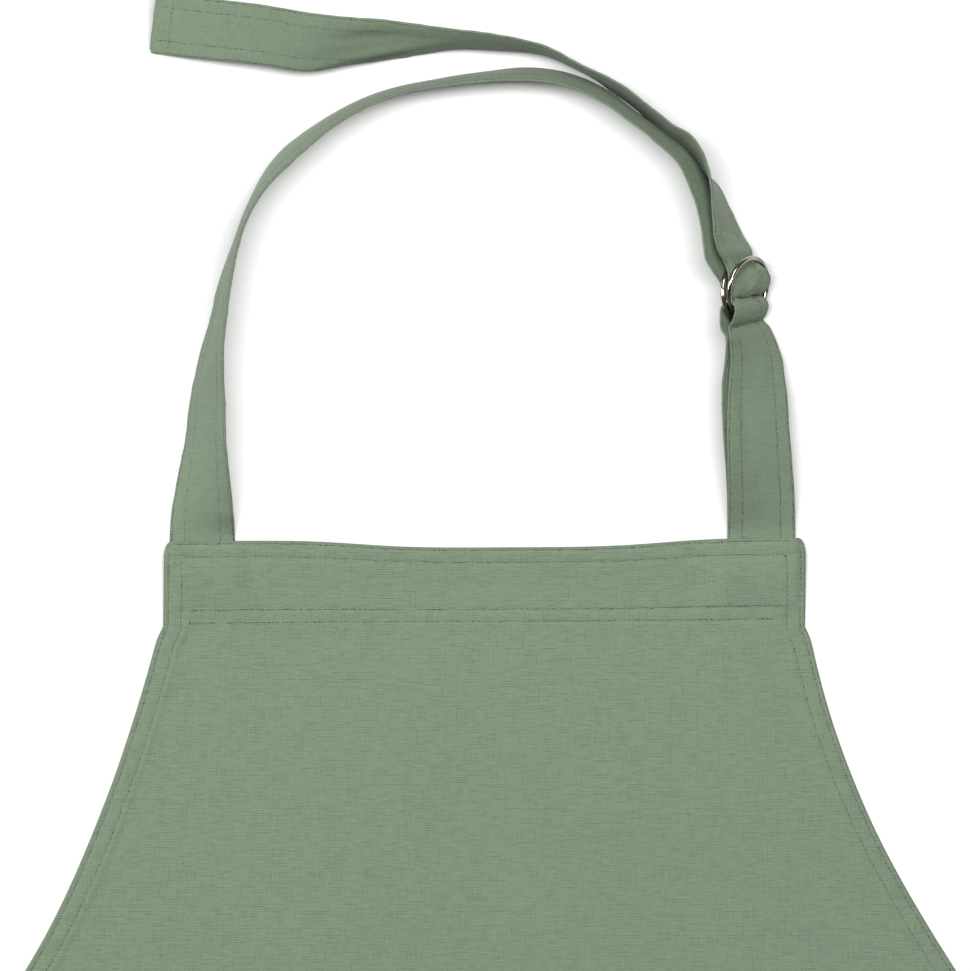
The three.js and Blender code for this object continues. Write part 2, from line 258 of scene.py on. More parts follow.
class Graph:
    """A node tree with short calls for the nodes that the finishes use."""

    def __init__(self, tree: bpy.types.NodeTree) -> None:
        """Keep the tree that gets the nodes."""
        self.tree = tree

    def feed(self, node: Node, values: dict[str | int, object]) -> None:
        """Link or set inputs of a node.

        Args:
            node: Node that is fed.
            values: Outputs of other nodes, or plain values, by the name or number of the input.
        """
        for key, value in values.items():
            if isinstance(value, Socket):
                self.tree.links.new(value, node.inputs[key])
            else:
                node.inputs[key].default_value = value

    def add(self, kind: str, values: dict[str | int, object] | None = None, **settings: object) -> Node:
        """Add a node, set its properties and feed its inputs.

        Args:
            kind: Node type without the common prefix.
            values: Outputs of other nodes, or plain values, by the name or number of the input.
            settings: Properties of the node.

        Returns:
            The new node.
        """
        node = self.tree.nodes.new(f"ShaderNode{kind}")
        for name, value in settings.items():
            setattr(node, name, value)
        self.feed(node, values or {})
        return node

    def math(self, operation: str, *values: object) -> Socket:
        """Value of a new Math node."""
        return self.add("Math", dict(enumerate(values)), operation=operation).outputs[0]

    def vector_math(self, operation: str, *values: object) -> Socket:
        """Vector of a new Vector Math node."""
        return self.add("VectorMath", dict(enumerate(values)), operation=operation).outputs[0]

    def noise(self, place: Socket, stretch: Triple) -> bpy.types.bpy_prop_collection:
        """Outputs of a new noise with so many grains per unit in each direction."""
        stretched = self.vector_math("MULTIPLY", place, stretch)
        return self.add("TexNoise", {"Vector": stretched, "Scale": 1.0, "Detail": 2.0}).outputs

    def spread(self, value: Socket, low: float, high: float) -> Socket:
        """Map low to 0 and high to 1, clamped."""
        return self.add("MapRange", {"Value": value, "From Min": low, "From Max": high}).outputs["Result"]

    def mix(self, share: Socket, first: object, second: object) -> Socket:
        """Mixed colour with the given share of the second colour."""
        return self.add("Mix", {0: share, 6: first, 7: second}, data_type="RGBA").outputs[2]

    def bump(self, height: Socket, distance: float, strength: float) -> Socket:
        """Normal of a relief with a height of so many metres."""
        return self.add("Bump", {"Height": height, "Distance": distance, "Strength": strength}).outputs[0]


class Threads(NamedTuple):
    """One direction of threads in the weave, and the painted shade in the gaps between them.

    axis is the way across the threads, pitch the group's input for their spacing and over their sign in the
    crossings. The gaps are sunk and darkened with painted shade by dark times a noise of that shift and
    stretch, spread from low to high.
    """

    axis: str
    pitch: str
    over: float
    shift: Triple
    stretch: Triple
    low: float
    high: float
    dark: float


# Warp along Y and weft along X of the pattern
WEAVE = (
    Threads("X", "Warp Pitch", 0.5, (37.0, 11.0, 5.0), (1.5, 0.11, 1.0), 0.45, 0.7, 0.36),
    Threads("Y", "Weft Pitch", -0.5, (0.0, 0.0, 0.0), (0.12, 1.8, 1.0), 0.42, 0.68, 0.62),
)

# Name, direction and type of the weave group's sockets
WEAVE_SOCKETS = (
    ("Place", "INPUT", "Vector"),
    ("Warp Pitch", "INPUT", "Float"),
    ("Weft Pitch", "INPUT", "Float"),
    ("Height", "OUTPUT", "Float"),
    ("Tone", "OUTPUT", "Float"),
)


def plain_weave() -> bpy.types.NodeTree:
    """Node group of a plain weave with thick and thin threads.

    The warp and weft waves are the sines of the place over their pitches. Where their product is positive the
    warp lies on top, and where it is negative the weft does. The tone follows a fine grain and a broad
    mottle, and carries painted shade in the gaps between threads, by an uneven share that changes along each
    thread.

    Returns:
        The node group, made once.
    """
    name = "plain_weave"
    if name in bpy.data.node_groups:
        return bpy.data.node_groups[name]
    wander_grain, wander_reach = (0.09, 0.09, 0.09), (0.7, 0.7, 0.0)
    fine_grain, mottle_grain = (0.3, 2.6, 1.0), (0.012, 0.012, 0.012)
    fine_relief, fine_tone, mottle_tone, least_tone = 0.4, 0.7, 0.12, 0.14
    tree = bpy.data.node_groups.new(name, "ShaderNodeTree")
    for label, direction, kind in WEAVE_SOCKETS:
        tree.interface.new_socket(name=label, in_out=direction, socket_type=f"NodeSocket{kind}")
    graph = Graph(tree)
    given = tree.nodes.new("NodeGroupInput").outputs
    place = given["Place"]
    wander = graph.noise(place, wander_grain)["Color"]
    strayed = graph.vector_math("MULTIPLY_ADD", wander, wander_reach, place)
    split = graph.add("SeparateXYZ", {0: strayed}).outputs
    waves, tops, lines = [], [], []
    for threads in WEAVE:
        half_turns = graph.math("MULTIPLY", split[threads.axis], math.pi)
        waves.append(graph.math("SINE", graph.math("DIVIDE", half_turns, given[threads.pitch])))
    cross = graph.math("MULTIPLY", *waves)
    for threads, wave in zip(WEAVE, waves):
        ridge = graph.math("ABSOLUTE", wave)
        tops.append(graph.math("MULTIPLY", ridge, graph.math("MULTIPLY_ADD", cross, threads.over, 0.5)))
        uneven = graph.noise(graph.vector_math("ADD", place, threads.shift), threads.stretch)["Fac"]
        share = graph.math("MULTIPLY", graph.spread(uneven, threads.low, threads.high), threads.dark)
        lines.append(graph.math("MULTIPLY", graph.math("SUBTRACT", 1.0, ridge), share))
    # The gaps sink the relief and darken the tone: painted shade between the threads
    gaps = graph.math("ADD", *lines)
    fine = graph.noise(place, fine_grain)["Fac"]
    mottle = graph.noise(place, mottle_grain)["Fac"]
    ridges = graph.math("MULTIPLY_ADD", fine, fine_relief, graph.math("MAXIMUM", *tops))
    ground = graph.math("MULTIPLY_ADD", mottle, mottle_tone, least_tone)
    ground = graph.math("MULTIPLY_ADD", fine, fine_tone, ground)
    results = {"Height": graph.math("SUBTRACT", ridges, gaps), "Tone": graph.math("SUBTRACT", ground, gaps)}
    graph.feed(tree.nodes.new("NodeGroupOutput"), results)
    return tree


def new_material(name: str) -> tuple[Material, Graph, Node]:
    """Start a material.

    Args:
        name: Name of the material.

    Returns:
        The material, its graph and its Principled node.
    """
    material = bpy.data.materials.new(name)
    material.use_nodes = True
    return material, Graph(material.node_tree), material.node_tree.nodes["Principled BSDF"]


@dataclass(frozen=True)
class ClothFinish:
    """Sage cotton with a linen look.

    Attributes:
        name: Name of the material.
        dark: Colour of the thin threads, and the painted shade in the hollows.
        light: Colour on the thick threads.
        warp_pitch: Spacing of the threads that run along Y of the pattern.
        weft_pitch: Spacing of the threads that run along X of the pattern.
        edge_wear_and_shade: Darker colour along the folded edges: painted shade at the folds, with some
            rubbed wear.
        relief: Height of the weave in metres.
        roughness: Roughness between the threads.
        sheen: Weight and roughness of the fuzz.
    """

    name: str
    dark: Colour = linear(84, 98, 80)
    light: Colour = linear(113, 127, 107)
    warp_pitch: float = 1.3
    weft_pitch: float = 1.1
    edge_wear_and_shade: Colour = linear(84, 93, 81)
    relief: float = 0.0001
    roughness: float = 0.9
    sheen: Pair = (0.12, 0.45)

    def material(self) -> Material:
        """Build the cloth from the piece's own pattern coordinates.

        The attribute holds the place across and along the cloth and the distance from its nearest fold.

        Returns:
            The cloth material.
        """
        material, graph, shader = new_material(self.name)
        pattern = graph.add("Attribute", attribute_name="cloth").outputs["Vector"]
        across, along, edge = graph.add("SeparateXYZ", {0: pattern}).outputs
        place = graph.add("CombineXYZ", {"X": across, "Y": along}).outputs[0]
        inputs = {"Place": place, "Warp Pitch": self.warp_pitch, "Weft Pitch": self.weft_pitch}
        height, tone = graph.add("Group", inputs, node_tree=plain_weave()).outputs
        hollow_shade_levels, hollow_shade_share, smoothing, specular = (0.7, 0.1), 0.1, -0.1, 0.2
        # Patchy darker colour near the folded edges: painted shade at the folds, with some rubbed wear
        edge_mark_reach, edge_mark_share, edge_patch_grain = (1.1, 0.1), 0.9, (0.3, 0.3, 0.3)
        # Painted shade: the low parts of the weave lean towards the dark colour
        hollow_shade = graph.math("MULTIPLY", graph.spread(height, *hollow_shade_levels), hollow_shade_share)
        edge_patches = graph.math("MULTIPLY", graph.noise(place, edge_patch_grain)["Fac"], edge_mark_share)
        edge_wear_and_shade_mask = graph.math("MULTIPLY", graph.spread(edge, *edge_mark_reach), edge_patches)
        colour = graph.mix(hollow_shade, graph.mix(tone, self.dark, self.light), self.dark)
        looks = {
            "Base Color": graph.mix(edge_wear_and_shade_mask, colour, self.edge_wear_and_shade),
            "Roughness": graph.math("MULTIPLY_ADD", height, smoothing, self.roughness),
            "Normal": graph.bump(height, self.relief, 1.0),
            "Sheen Weight": self.sheen[0],
            "Sheen Roughness": self.sheen[1],
            "Specular IOR Level": specular,
        }
        graph.feed(shader, looks)
        return material


@dataclass(frozen=True)
class ThreadFinish:
    """Sewing thread, or the painted shade of the needle holes between its stitches.

    Attributes:
        name: Name of the material.
        dark: Colour between the plies.
        light: Colour on the plies.
        roughness: Middle roughness of the thread.
    """

    name: str
    dark: Colour
    light: Colour
    roughness: float = 0.7

    def material(self) -> Material:
        """Build the thread with an uneven tone on Object coordinates.

        Returns:
            The thread material.
        """
        material, graph, shader = new_material(self.name)
        grain_size, tones, uneven, specular = (900.0, 900.0, 900.0), (0.35, 0.65), 0.2, 0.25
        grain = graph.noise(graph.add("TexCoord").outputs["Object"], grain_size)["Fac"]
        looks = {
            "Base Color": graph.mix(graph.spread(grain, *tones), self.dark, self.light),
            "Roughness": graph.math("MULTIPLY_ADD", grain, uneven, self.roughness - uneven / 2),
            "Specular IOR Level": specular,
        }
        graph.feed(shader, looks)
        return material


@dataclass(frozen=True)
class NickelFinish:
    """Bright nickel on bent wire.

    Attributes:
        name: Name of the material.
        bright: Colour of the clean metal.
        dull: Colour of the handled metal.
        roughness: Least roughness, and how much the marks add.
        relief: Height in metres and strength of the marks.
    """

    name: str = "bright_nickel"
    bright: Colour = linear(168, 162, 151)
    dull: Colour = linear(128, 121, 110)
    roughness: Pair = (0.06, 0.12)
    relief: Pair = (0.00002, 0.3)

    def material(self) -> Material:
        """Build the metal with faint handling marks on Object coordinates.

        Returns:
            The metal material.
        """
        material, graph, shader = new_material(self.name)
        place = graph.add("TexCoord").outputs["Object"]
        mark_grain, cloud_grain, tones = (260.0, 260.0, 1400.0), (120.0, 120.0, 120.0), (0.4, 0.7)
        marks = graph.noise(place, mark_grain)["Fac"]
        handled = graph.spread(graph.noise(place, cloud_grain)["Fac"], *tones)
        least, added = self.roughness
        looks = {
            "Base Color": graph.mix(handled, self.bright, self.dull),
            "Roughness": graph.math("MULTIPLY_ADD", marks, added, least),
            "Metallic": 1.0,
            "Normal": graph.bump(marks, *self.relief),
        }
        graph.feed(shader, looks)
        return material


@dataclass(frozen=True)
class Finishes:
    """The finished materials that the pieces share: two cloths, thread, painted needle-hole shade and metal.
    """

    apron: Material
    strap: Material
    thread: Material
    needle_shade: Material
    nickel: Material

    @classmethod
    def build(cls) -> "Finishes":
        """Make every material once."""
        finishes = (
            ClothFinish("apron_cotton"),
            ClothFinish("strap_cotton", linear(90, 104, 86), linear(110, 124, 104), 1.1, 1.0),
            ThreadFinish("sewing_thread", linear(68, 80, 64), linear(94, 107, 89)),
            # Painted shade for the needle holes
            ThreadFinish("needle_pits", linear(34, 42, 31), linear(54, 64, 50), 0.95),
            NickelFinish(),
        )
        return cls(*(finish.material() for finish in finishes))


def show(name: str, points: Array, faces: list, materials: list[Material]) -> Object:
    """Make a smooth shaded object from points in metres.

    Args:
        name: Name of the object and its mesh.
        points: One point per row.
        faces: Corner indices of each face.
        materials: Materials in slot order.

    Returns:
        The object, linked to the scene.
    """
    mesh = bpy.data.meshes.new(name)
    mesh.from_pydata(points.tolist(), [], faces)
    mesh.polygons.foreach_set("use_smooth", np.ones(len(mesh.polygons), dtype=bool))
    for material in materials:
        mesh.materials.append(material)
    piece = bpy.data.objects.new(name, mesh)
    bpy.context.scene.collection.objects.link(piece)
    return piece


@dataclass
class FlatTube:
    """A cloth with two faces, as rows of points that each run once round its section.

    The first half of a row is the front from one edge to the other, and the second half is the back on the
    way home, so point k of the front lies over point -k of the back.

    Attributes:
        points: Points by row and place in the row, in the layout.
        cloth: Pattern coordinates of the points: across, along and distance from the nearest folded edge.
    """

    points: Array
    cloth: Array

    @classmethod
    def between(cls, front: Array, back: Array, cloth: Array) -> "FlatTube":
        """Join a front and a back that have the same edges and the same pattern."""
        halves = ((front, back), (cloth, cloth))
        return cls(*(np.concatenate([over, under[:, -2:0:-1]], axis=1) for over, under in halves))

    def faces(self) -> list:
        """Faces between neighbouring rows, and the faces that close both ends.

        Returns:
            Corner indices of every face, with the faces pointing out.
        """
        rows, around = self.points.shape[:2]
        index = np.arange(rows * around).reshape(rows, around)
        ahead = np.roll(index, -1, axis=1)
        walls = np.stack([index[:-1], ahead[:-1], ahead[1:], index[1:]], axis=-1).reshape(-1, 4)
        half = around // 2
        inner = np.arange(1, half - 1)
        ends, corners = [], []
        for row in (index[0], index[-1][np.roll(np.arange(around)[::-1], 1)]):
            ends.append(np.stack([row[inner], row[-inner], row[-inner - 1], row[inner + 1]], axis=-1))
            corners.append([[row[0], row[-1], row[1]], [row[half - 1], row[half + 1], row[half]]])
        quads = np.vstack([walls, *ends])
        triangles = np.array(corners).reshape(-1, 3)
        a, b, c, d = (self.points.reshape(-1, 3)[walls[:, k]] for k in range(4))
        volume = np.einsum("ij,ij->", a, np.cross(b, c)) + np.einsum("ij,ij->", a, np.cross(c, d))
        if volume < 0:
            quads, triangles = quads[:, ::-1], triangles[:, ::-1]
        return quads.tolist() + triangles.tolist()

    def piece(self, name: str, layout: Layout, material: Material) -> Object:
        """Make the cloth's object with its pattern coordinates.

        Args:
            name: Name of the piece.
            layout: Where the layout stands in the frame.
            material: Cloth material.

        Returns:
            The piece.
        """
        piece = show(name, layout.place(self.points.reshape(-1, 3)), self.faces(), [material])
        pattern = piece.data.attributes.new("cloth", "FLOAT_VECTOR", "POINT")
        pattern.data.foreach_set("vector", self.cloth.reshape(-1))
        return piece


@dataclass
class Seam:
    """A line of stitches.

    Attributes:
        path: Points along the line on the cloth.
        up: Direction out of the cloth at each point.
    """

    path: Array
    up: Array

    def stitches(self, pitch: float) -> tuple[Array, Array, Array]:
        """Share the line out into stitches of one pitch.

        Args:
            pitch: Distance from one needle hole to the next.

        Returns:
            The stitches' middles, their directions along the line and their directions out of the cloth.
        """
        run = path_lengths(self.path)
        holes = np.linspace(0.0, run[-1], max(int(run[-1] / pitch), 1) + 1)
        middles = (holes[1:] + holes[:-1]) / 2
        points = np.stack([np.interp(holes, run, column) for column in self.path.T], axis=1)
        ups = np.stack([np.interp(middles, run, column) for column in self.up.T], axis=1)
        return (points[1:] + points[:-1]) / 2, unit(points[1:] - points[:-1]), unit(ups)


@dataclass(frozen=True)
class Sewing:
    """How the seams are sewn.

    Attributes:
        pitch: Distance from one needle hole to the next.
        thread: Half length, half width and half height of a stitch that shows.
        needle_shade: Half length, width and height of a dark bead of painted shade in a needle hole.
        thread_sizes: Smallest and largest share of that size that a stitch has.
        needle_shade_sizes: Smallest and largest share of that size that such a bead has.
        wander: How far a stitch strays from its line.
        slant: Sideways share of a stitch's direction, and how far it varies.
        sides: Faces round a stitch.
        rings: Angles from a stitch's first pole to its rings of points, in degrees.
    """

    pitch: float = 2.6
    thread: Triple = (1.0, 0.31, 0.17)
    needle_shade: Triple = (0.38, 0.33, 0.17)
    thread_sizes: Pair = (0.85, 1.1)
    needle_shade_sizes: Pair = (0.45, 1.2)
    wander: float = 0.13
    slant: Pair = (0.3, 0.08)
    sides: int = 5
    rings: Triple = (35.0, 90.0, 145.0)

    def bead(self) -> tuple[Array, Array]:
        """Unit bead with poles at -X and +X: rings at the cosines and sines of even angles.

        Returns:
            Its points and its faces as four corners, with a corner repeated at the poles.
        """
        lift = np.radians(self.rings)[:, None]
        turn = TURN * np.arange(self.sides) / self.sides
        circles = (-np.cos(lift), np.sin(lift) * np.cos(turn), np.sin(lift) * np.sin(turn))
        rings = np.stack(np.broadcast_arrays(*circles), axis=-1)
        points = np.vstack([[[-1.0, 0.0, 0.0]], rings.reshape(-1, 3), [[1.0, 0.0, 0.0]]])
        index = 1 + np.arange(rings[..., 0].size).reshape(rings.shape[:2])
        ahead = np.roll(index, -1, axis=1)
        start, end = np.zeros_like(index[0]), np.full_like(index[0], len(points) - 1)
        corners = (
            (start, ahead[0], index[0], index[0]),
            (end, index[2], ahead[2], ahead[2]),
            (index[0], ahead[0], ahead[1], index[1]),
            (index[1], ahead[1], ahead[2], index[2]),
        )
        return points, np.vstack([np.stack(four, axis=-1) for four in corners])

    def beads(self, places: Array, along: Array, up: Array, size: Array) -> tuple[Array, Array]:
        """Copies of the bead, one per place, stretched along the seam, across it and out of the cloth.

        Args:
            places: Middles of the copies.
            along: Directions along the seam.
            up: Directions out of the cloth.
            size: Half sizes of each copy.

        Returns:
            The points of all copies and their faces.
        """
        points, faces = self.bead()
        axes = np.stack([along, unit(np.cross(up, along)), up], axis=1) * size[:, :, None]
        copies = places[:, None, :] + np.einsum("pk,nkc->npc", points, axes)
        offsets = len(points) * np.arange(len(places))[:, None, None]
        return copies.reshape(-1, 3), (faces[None] + offsets).reshape(-1, 4)

    def sew(self, name: str, seams: list[Seam], layout: Layout, finishes: Finishes, seed: int) -> Object:
        """Make one piece of all the stitches of a cloth.

        Args:
            name: Name of the piece.
            seams: Lines to sew.
            layout: Where the layout stands in the frame.
            finishes: Shared materials.
            seed: Seed of the uneven hand of the stitches.

        Returns:
            The stitching as one object with thread and dark beads of painted shade in the needle holes.
        """
        sewn = zip(*(seam.stitches(self.pitch) for seam in seams))
        places, along, up = (np.vstack(parts) for parts in sewn)
        draw = np.random.default_rng(seed)
        each = (len(places), 1)
        side = unit(np.cross(up, along))
        shift = side * draw.normal(0.0, self.wander, each)
        leaning = unit(along + side * draw.normal(*self.slant, each))
        thread_size = np.array(self.thread) * draw.uniform(*self.thread_sizes, each)
        needle_shade_size = np.array(self.needle_shade) * draw.uniform(*self.needle_shade_sizes, each)
        threads, thread_faces = self.beads(places + shift, leaning, up, thread_size)
        # Dark beads of painted shade at the needle holes, half a pitch back
        needle_shades, needle_shade_faces = self.beads(places - along * (self.pitch / 2) + shift, along, up, needle_shade_size)
        quads = np.vstack([thread_faces, needle_shade_faces + len(threads)])
        closed = quads[:, 2] == quads[:, 3]
        order = np.concatenate([np.flatnonzero(~closed), np.flatnonzero(closed)])
        faces = quads[~closed].tolist() + quads[closed][:, :3].tolist()
        points = layout.place(np.vstack([threads, needle_shades]))
        piece = show(name, points, faces, [finishes.thread, finishes.needle_shade])
        slots = (order >= len(thread_faces)).astype(np.int32)
        piece.data.polygons.foreach_set("material_index", slots)
        return piece


@dataclass(frozen=True)
class Workshop:
    """What every sub-assembly needs to make its pieces.

    Attributes:
        layout: Where the layout stands in the frame.
        finishes: Shared materials.
        sewing: How the seams are sewn.
    """

    layout: Layout
    finishes: Finishes
    sewing: Sewing = Sewing()

    def dress(self, stem: str, slot: Slot, tube: FlatTube, seams: list[Seam], seed: int) -> list[Object]:
        """Make a cloth and its stitching.

        Args:
            stem: How the names of both begin.
            slot: Kind of material, which picks the cloth.
            tube: Shape of the cloth.
            seams: Lines of stitches on it.
            seed: Seed of the stitches.

        Returns:
            The cloth and the stitching.
        """
        material = self.finishes.apron if slot is Slot.APRON else self.finishes.strap
        cloth = tube.piece(f"{stem}_cloth", self.layout, material)
        stitching = self.sewing.sew(f"{stem}_stitching", seams, self.layout, self.finishes, seed)
        for piece in (cloth, stitching):
            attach(piece, BODY)
        return [cloth, stitching]


# Soft folds of the panel, beside the band's lower corners and along the armholes
PANEL_CREASES = (
    Crease(43.0, -134.8, 9.0, 2.6, -36.0, -0.45),
    Crease(47.0, -128.0, 9.0, 2.6, -36.0, 0.25),
    Crease(44.0, 133.5, 9.0, 2.6, 33.0, -0.35),
    Crease(70.0, -141.0, 8.0, 2.6, -62.0, -0.3),
    Crease(96.0, 149.0, 9.0, 2.8, 60.0, -0.3),
    Crease(131.0, -163.0, 9.0, 2.8, -58.0, -0.3),
    Crease(160.0, 176.0, 9.0, 2.8, 62.0, -0.3),
)

# Grid of the panel: columns in from each side, and rows down from the top, past the band and up from the foot
SIDE_COLUMNS = (0, 0.2, 0.5, 0.9, 1.4, 1.9, 2.3, 2.8, 3.6, 4.8, 6.2, 7.4, 8.3, 9.2, 10, 10.7, 11.4, 12.4)
INNER_COLUMNS = (14, 17, 22, 30)
TOP_ROWS = (0, 0.2, 0.5, 0.9, 1.3, 1.8, 2.5, 3.5, 5, 6, 6.5, 7.2, 8.5, 10.5, 12.3, 13.4, 14.6, 15.8, 18)
BAND_ROWS = (21, 24, 27, 28.6, 29.4, 30.2, 32, 34, 35, 35.8, 36.4, 37.2, 38.2, 39.4)
FOOT_ROWS = (0, 0.2, 0.5, 0.9, 1.4, 2, 2.8, 4.5, 8, 12, 16, 18.6, 19.5, 20.4, 22, 22.7, 23.4, 25, 28)


@dataclass
class SideEdge:
    """The bib and skirt's side from the top corner to the foot, as it runs in the layout.

    Attributes:
        run: Distances along the edge.
        half: Half widths at those distances.
        depth: Depths below the top edge.
        lean: Angles between the edge and straight down.
    """

    run: Array
    half: Array
    depth: Array
    lean: Array

    def at(self, run: Array) -> tuple[Array, Array, Array]:
        """Half width, depth and lean at distances along the edge."""
        return tuple(np.interp(run, self.run, column) for column in (self.half, self.depth, self.lean))


@dataclass
class ApronPanel:
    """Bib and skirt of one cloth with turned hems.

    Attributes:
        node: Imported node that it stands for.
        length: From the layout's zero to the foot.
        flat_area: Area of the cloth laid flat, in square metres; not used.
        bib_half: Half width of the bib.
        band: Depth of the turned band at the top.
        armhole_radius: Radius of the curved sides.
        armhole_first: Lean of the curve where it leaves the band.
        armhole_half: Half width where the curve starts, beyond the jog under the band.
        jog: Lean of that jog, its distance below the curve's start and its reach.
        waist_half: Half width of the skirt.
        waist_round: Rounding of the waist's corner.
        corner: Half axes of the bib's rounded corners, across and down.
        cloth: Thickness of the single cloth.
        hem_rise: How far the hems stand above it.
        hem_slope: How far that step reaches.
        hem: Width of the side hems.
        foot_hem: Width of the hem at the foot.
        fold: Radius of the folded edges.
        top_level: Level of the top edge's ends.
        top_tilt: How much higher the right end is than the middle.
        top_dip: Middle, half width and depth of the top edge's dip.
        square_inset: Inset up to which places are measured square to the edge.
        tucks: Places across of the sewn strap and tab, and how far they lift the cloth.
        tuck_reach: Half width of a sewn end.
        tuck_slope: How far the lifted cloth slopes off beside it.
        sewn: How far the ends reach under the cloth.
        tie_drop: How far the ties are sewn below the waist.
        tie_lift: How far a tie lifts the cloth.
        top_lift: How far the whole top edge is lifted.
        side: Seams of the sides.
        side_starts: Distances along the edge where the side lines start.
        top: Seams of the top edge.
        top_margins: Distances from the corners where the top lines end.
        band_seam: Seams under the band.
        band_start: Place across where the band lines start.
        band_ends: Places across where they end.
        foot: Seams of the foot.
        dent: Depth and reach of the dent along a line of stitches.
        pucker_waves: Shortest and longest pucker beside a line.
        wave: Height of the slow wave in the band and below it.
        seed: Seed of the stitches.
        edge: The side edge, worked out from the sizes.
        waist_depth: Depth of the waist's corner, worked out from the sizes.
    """

    node: str = "apron_panel"
    length: float = 860.0
    flat_area: float = 0.508
    bib_half: float = 147.6
    band: float = 36.0
    armhole_radius: float = 497.0
    armhole_first: float = math.radians(12.3)
    armhole_half: float = 148.6
    jog: Triple = (math.radians(14.0), 3.0, 4.0)
    waist_half: float = 349.1
    waist_round: float = 14.0
    corner: Pair = (3.6, 7.5)
    cloth: float = 0.9
    hem_rise: float = 0.5
    hem_slope: float = 3.0
    hem: float = 10.0
    foot_hem: float = 22.0
    fold: float = 1.0
    top_level: float = 2.6
    top_tilt: float = 0.8
    top_dip: Triple = (12.0, 76.0, 3.65)
    square_inset: float = 12.0
    tucks: tuple[Pair, Pair] = ((-130.0, 1.9), (126.3, 3.3))
    tuck_reach: float = 15.3
    tuck_slope: float = 12.0
    sewn: float = 12.3
    tie_drop: float = 20.0
    tie_lift: float = 1.5
    top_lift: float = 1.3
    side: SeamGroup = SeamGroup((2.3, 8.3), 11, 0.3, 3.2)
    side_starts: Pair = (6.0, 9.5)
    top: SeamGroup = SeamGroup((1.4, 7.0), 21, 0.26, 3.0)
    top_margins: Pair = (4.5, 10.5)
    band_seam: SeamGroup = SeamGroup((29.4, 35.0), 31, 0.22, 3.0)
    band_start: float = -135.4
    band_ends: Pair = (139.0, 133.5)
    foot: SeamGroup = SeamGroup((2.0, 19.5), 41, 0.26, 3.2)
    dent: Pair = (0.3, 0.7)
    pucker_waves: Pair = (9.0, 31.0)
    wave: Pair = (0.05, 0.12)
    seed: int = 3
    edge: SideEdge = field(init=False)
    waist_depth: float = field(init=False)

    def __post_init__(self) -> None:
        """Work out the side edge by adding up its direction along small steps.

        The lean is zero beside the band, jumps at the jog, grows by run over radius on the armhole, turns
        back to zero round the waist's corner and stays zero beside the skirt.
        """
        step, easing = 0.25, 2.0
        first, radius, corner = self.armhole_first, self.armhole_radius, self.waist_round
        widened = self.waist_half - self.armhole_half
        last = math.acos((corner + radius * math.cos(first) - widened) / (radius + corner))
        start = self.band + easing / 2
        turn_start = start + radius * (last - first)
        turn_end = turn_start + corner * last
        run = np.arange(0.0, turn_end + self.length, step)
        curve = first + (run - start) / radius
        turning = last - (run - turn_start) / corner
        lean = np.select([run < start, run < turn_start, run < turn_end], [0.0 * run, curve, turning], 0.0)
        jog_lean, jog_drop, jog_reach = self.jog
        jog = jog_lean * bell(run - start - jog_drop, jog_reach) * (run >= start)
        ease = smooth_step(run - start + easing / 2, easing)
        lean = np.where(run < turn_start, (lean + jog) * ease, lean)
        half = self.bib_half + np.concatenate([[0.0], np.cumsum(np.sin(lean[:-1]) * step)])
        depth = np.concatenate([[0.0], np.cumsum(np.cos(lean[:-1]) * step)])
        kept = depth <= self.length
        self.edge = SideEdge(run[kept], half[kept], depth[kept], lean[kept])
        self.waist_depth = float(np.interp(turn_end, run, depth))

    def drift(self, depth: Array) -> Array:
        """Drift to the right: -1.1 at a depth of 80, then up to 2.6 from 200 and back to zero from 320."""
        bow = 2.6 * smooth_step(depth - 120.0, 80.0) - 1.1 * bell(depth - 80.0, 45.0)
        return bow * (1.0 - smooth_step(depth - 220.0, 100.0))

    def top_edge(self, x: Array) -> Array:
        """Level of the top edge: a slight tilt, less a dip that falls off with the fourth power.

        Args:
            x: Places across.

        Returns:
            Level at each place.
        """
        middle, wide, deep = self.top_dip
        tilted = self.top_level + self.top_tilt * x / self.bib_half
        return tilted - deep * np.exp(-(((x - middle) / wide) ** 4))

    def settle(self, x: Array, depth: Array) -> tuple[Array, Array]:
        """X and Y as the cloth lies: drifted, and with the top edge's level fading out over the band."""
        fade = np.clip(1.0 - depth / self.band, 0.0, 1.0)
        return x + self.drift(depth), self.top_edge(x) * fade - depth

    def plan(self, run: Array, inset: Array, side: Side) -> tuple[Array, Array]:
        """Place on the ground plan at an inset from a side edge.

        Up to the square inset the place is the edge point moved along the edge's inward normal, and further
        in it keeps that depth and moves straight across.

        Args:
            run: Distances along the edge.
            inset: Distances in from the edge.
            side: Which side edge.

        Returns:
            X and the depth below the top edge.
        """
        half, depth, lean = self.edge.at(run)
        square = np.minimum(inset, self.square_inset)
        x = half - square * np.cos(lean) - (inset - square)
        return side.value * x, depth + square * np.sin(lean)

    def tuck_lift(self, x: Array, depth: Array) -> Array:
        """How far the sewn ends lift the cloth over them, with sides that slope off over a few millimetres.

        Args:
            x: Places across.
            depth: Depths below the top edge.

        Returns:
            Lift at each place.
        """
        slope, reach = self.tuck_slope, self.tuck_reach
        into = 1.0 - smooth_step(depth - self.sewn, 2 * slope)
        lift = np.zeros_like(x)
        for place, high in self.tucks:
            lift = lift + high * into * (1.0 - smooth_step(np.abs(x - place) - reach, slope))
        from_tie = np.abs(depth - (self.waist_depth + self.tie_drop))
        beside = 1.0 - smooth_step(self.waist_half - np.abs(x) - self.sewn, slope)
        tie = self.tie_lift * beside * (1.0 - smooth_step(from_tie - reach, slope))
        top = self.top_lift * (1.0 - smooth_step(depth, 2 * slope))
        return np.maximum(lift, top) + tie

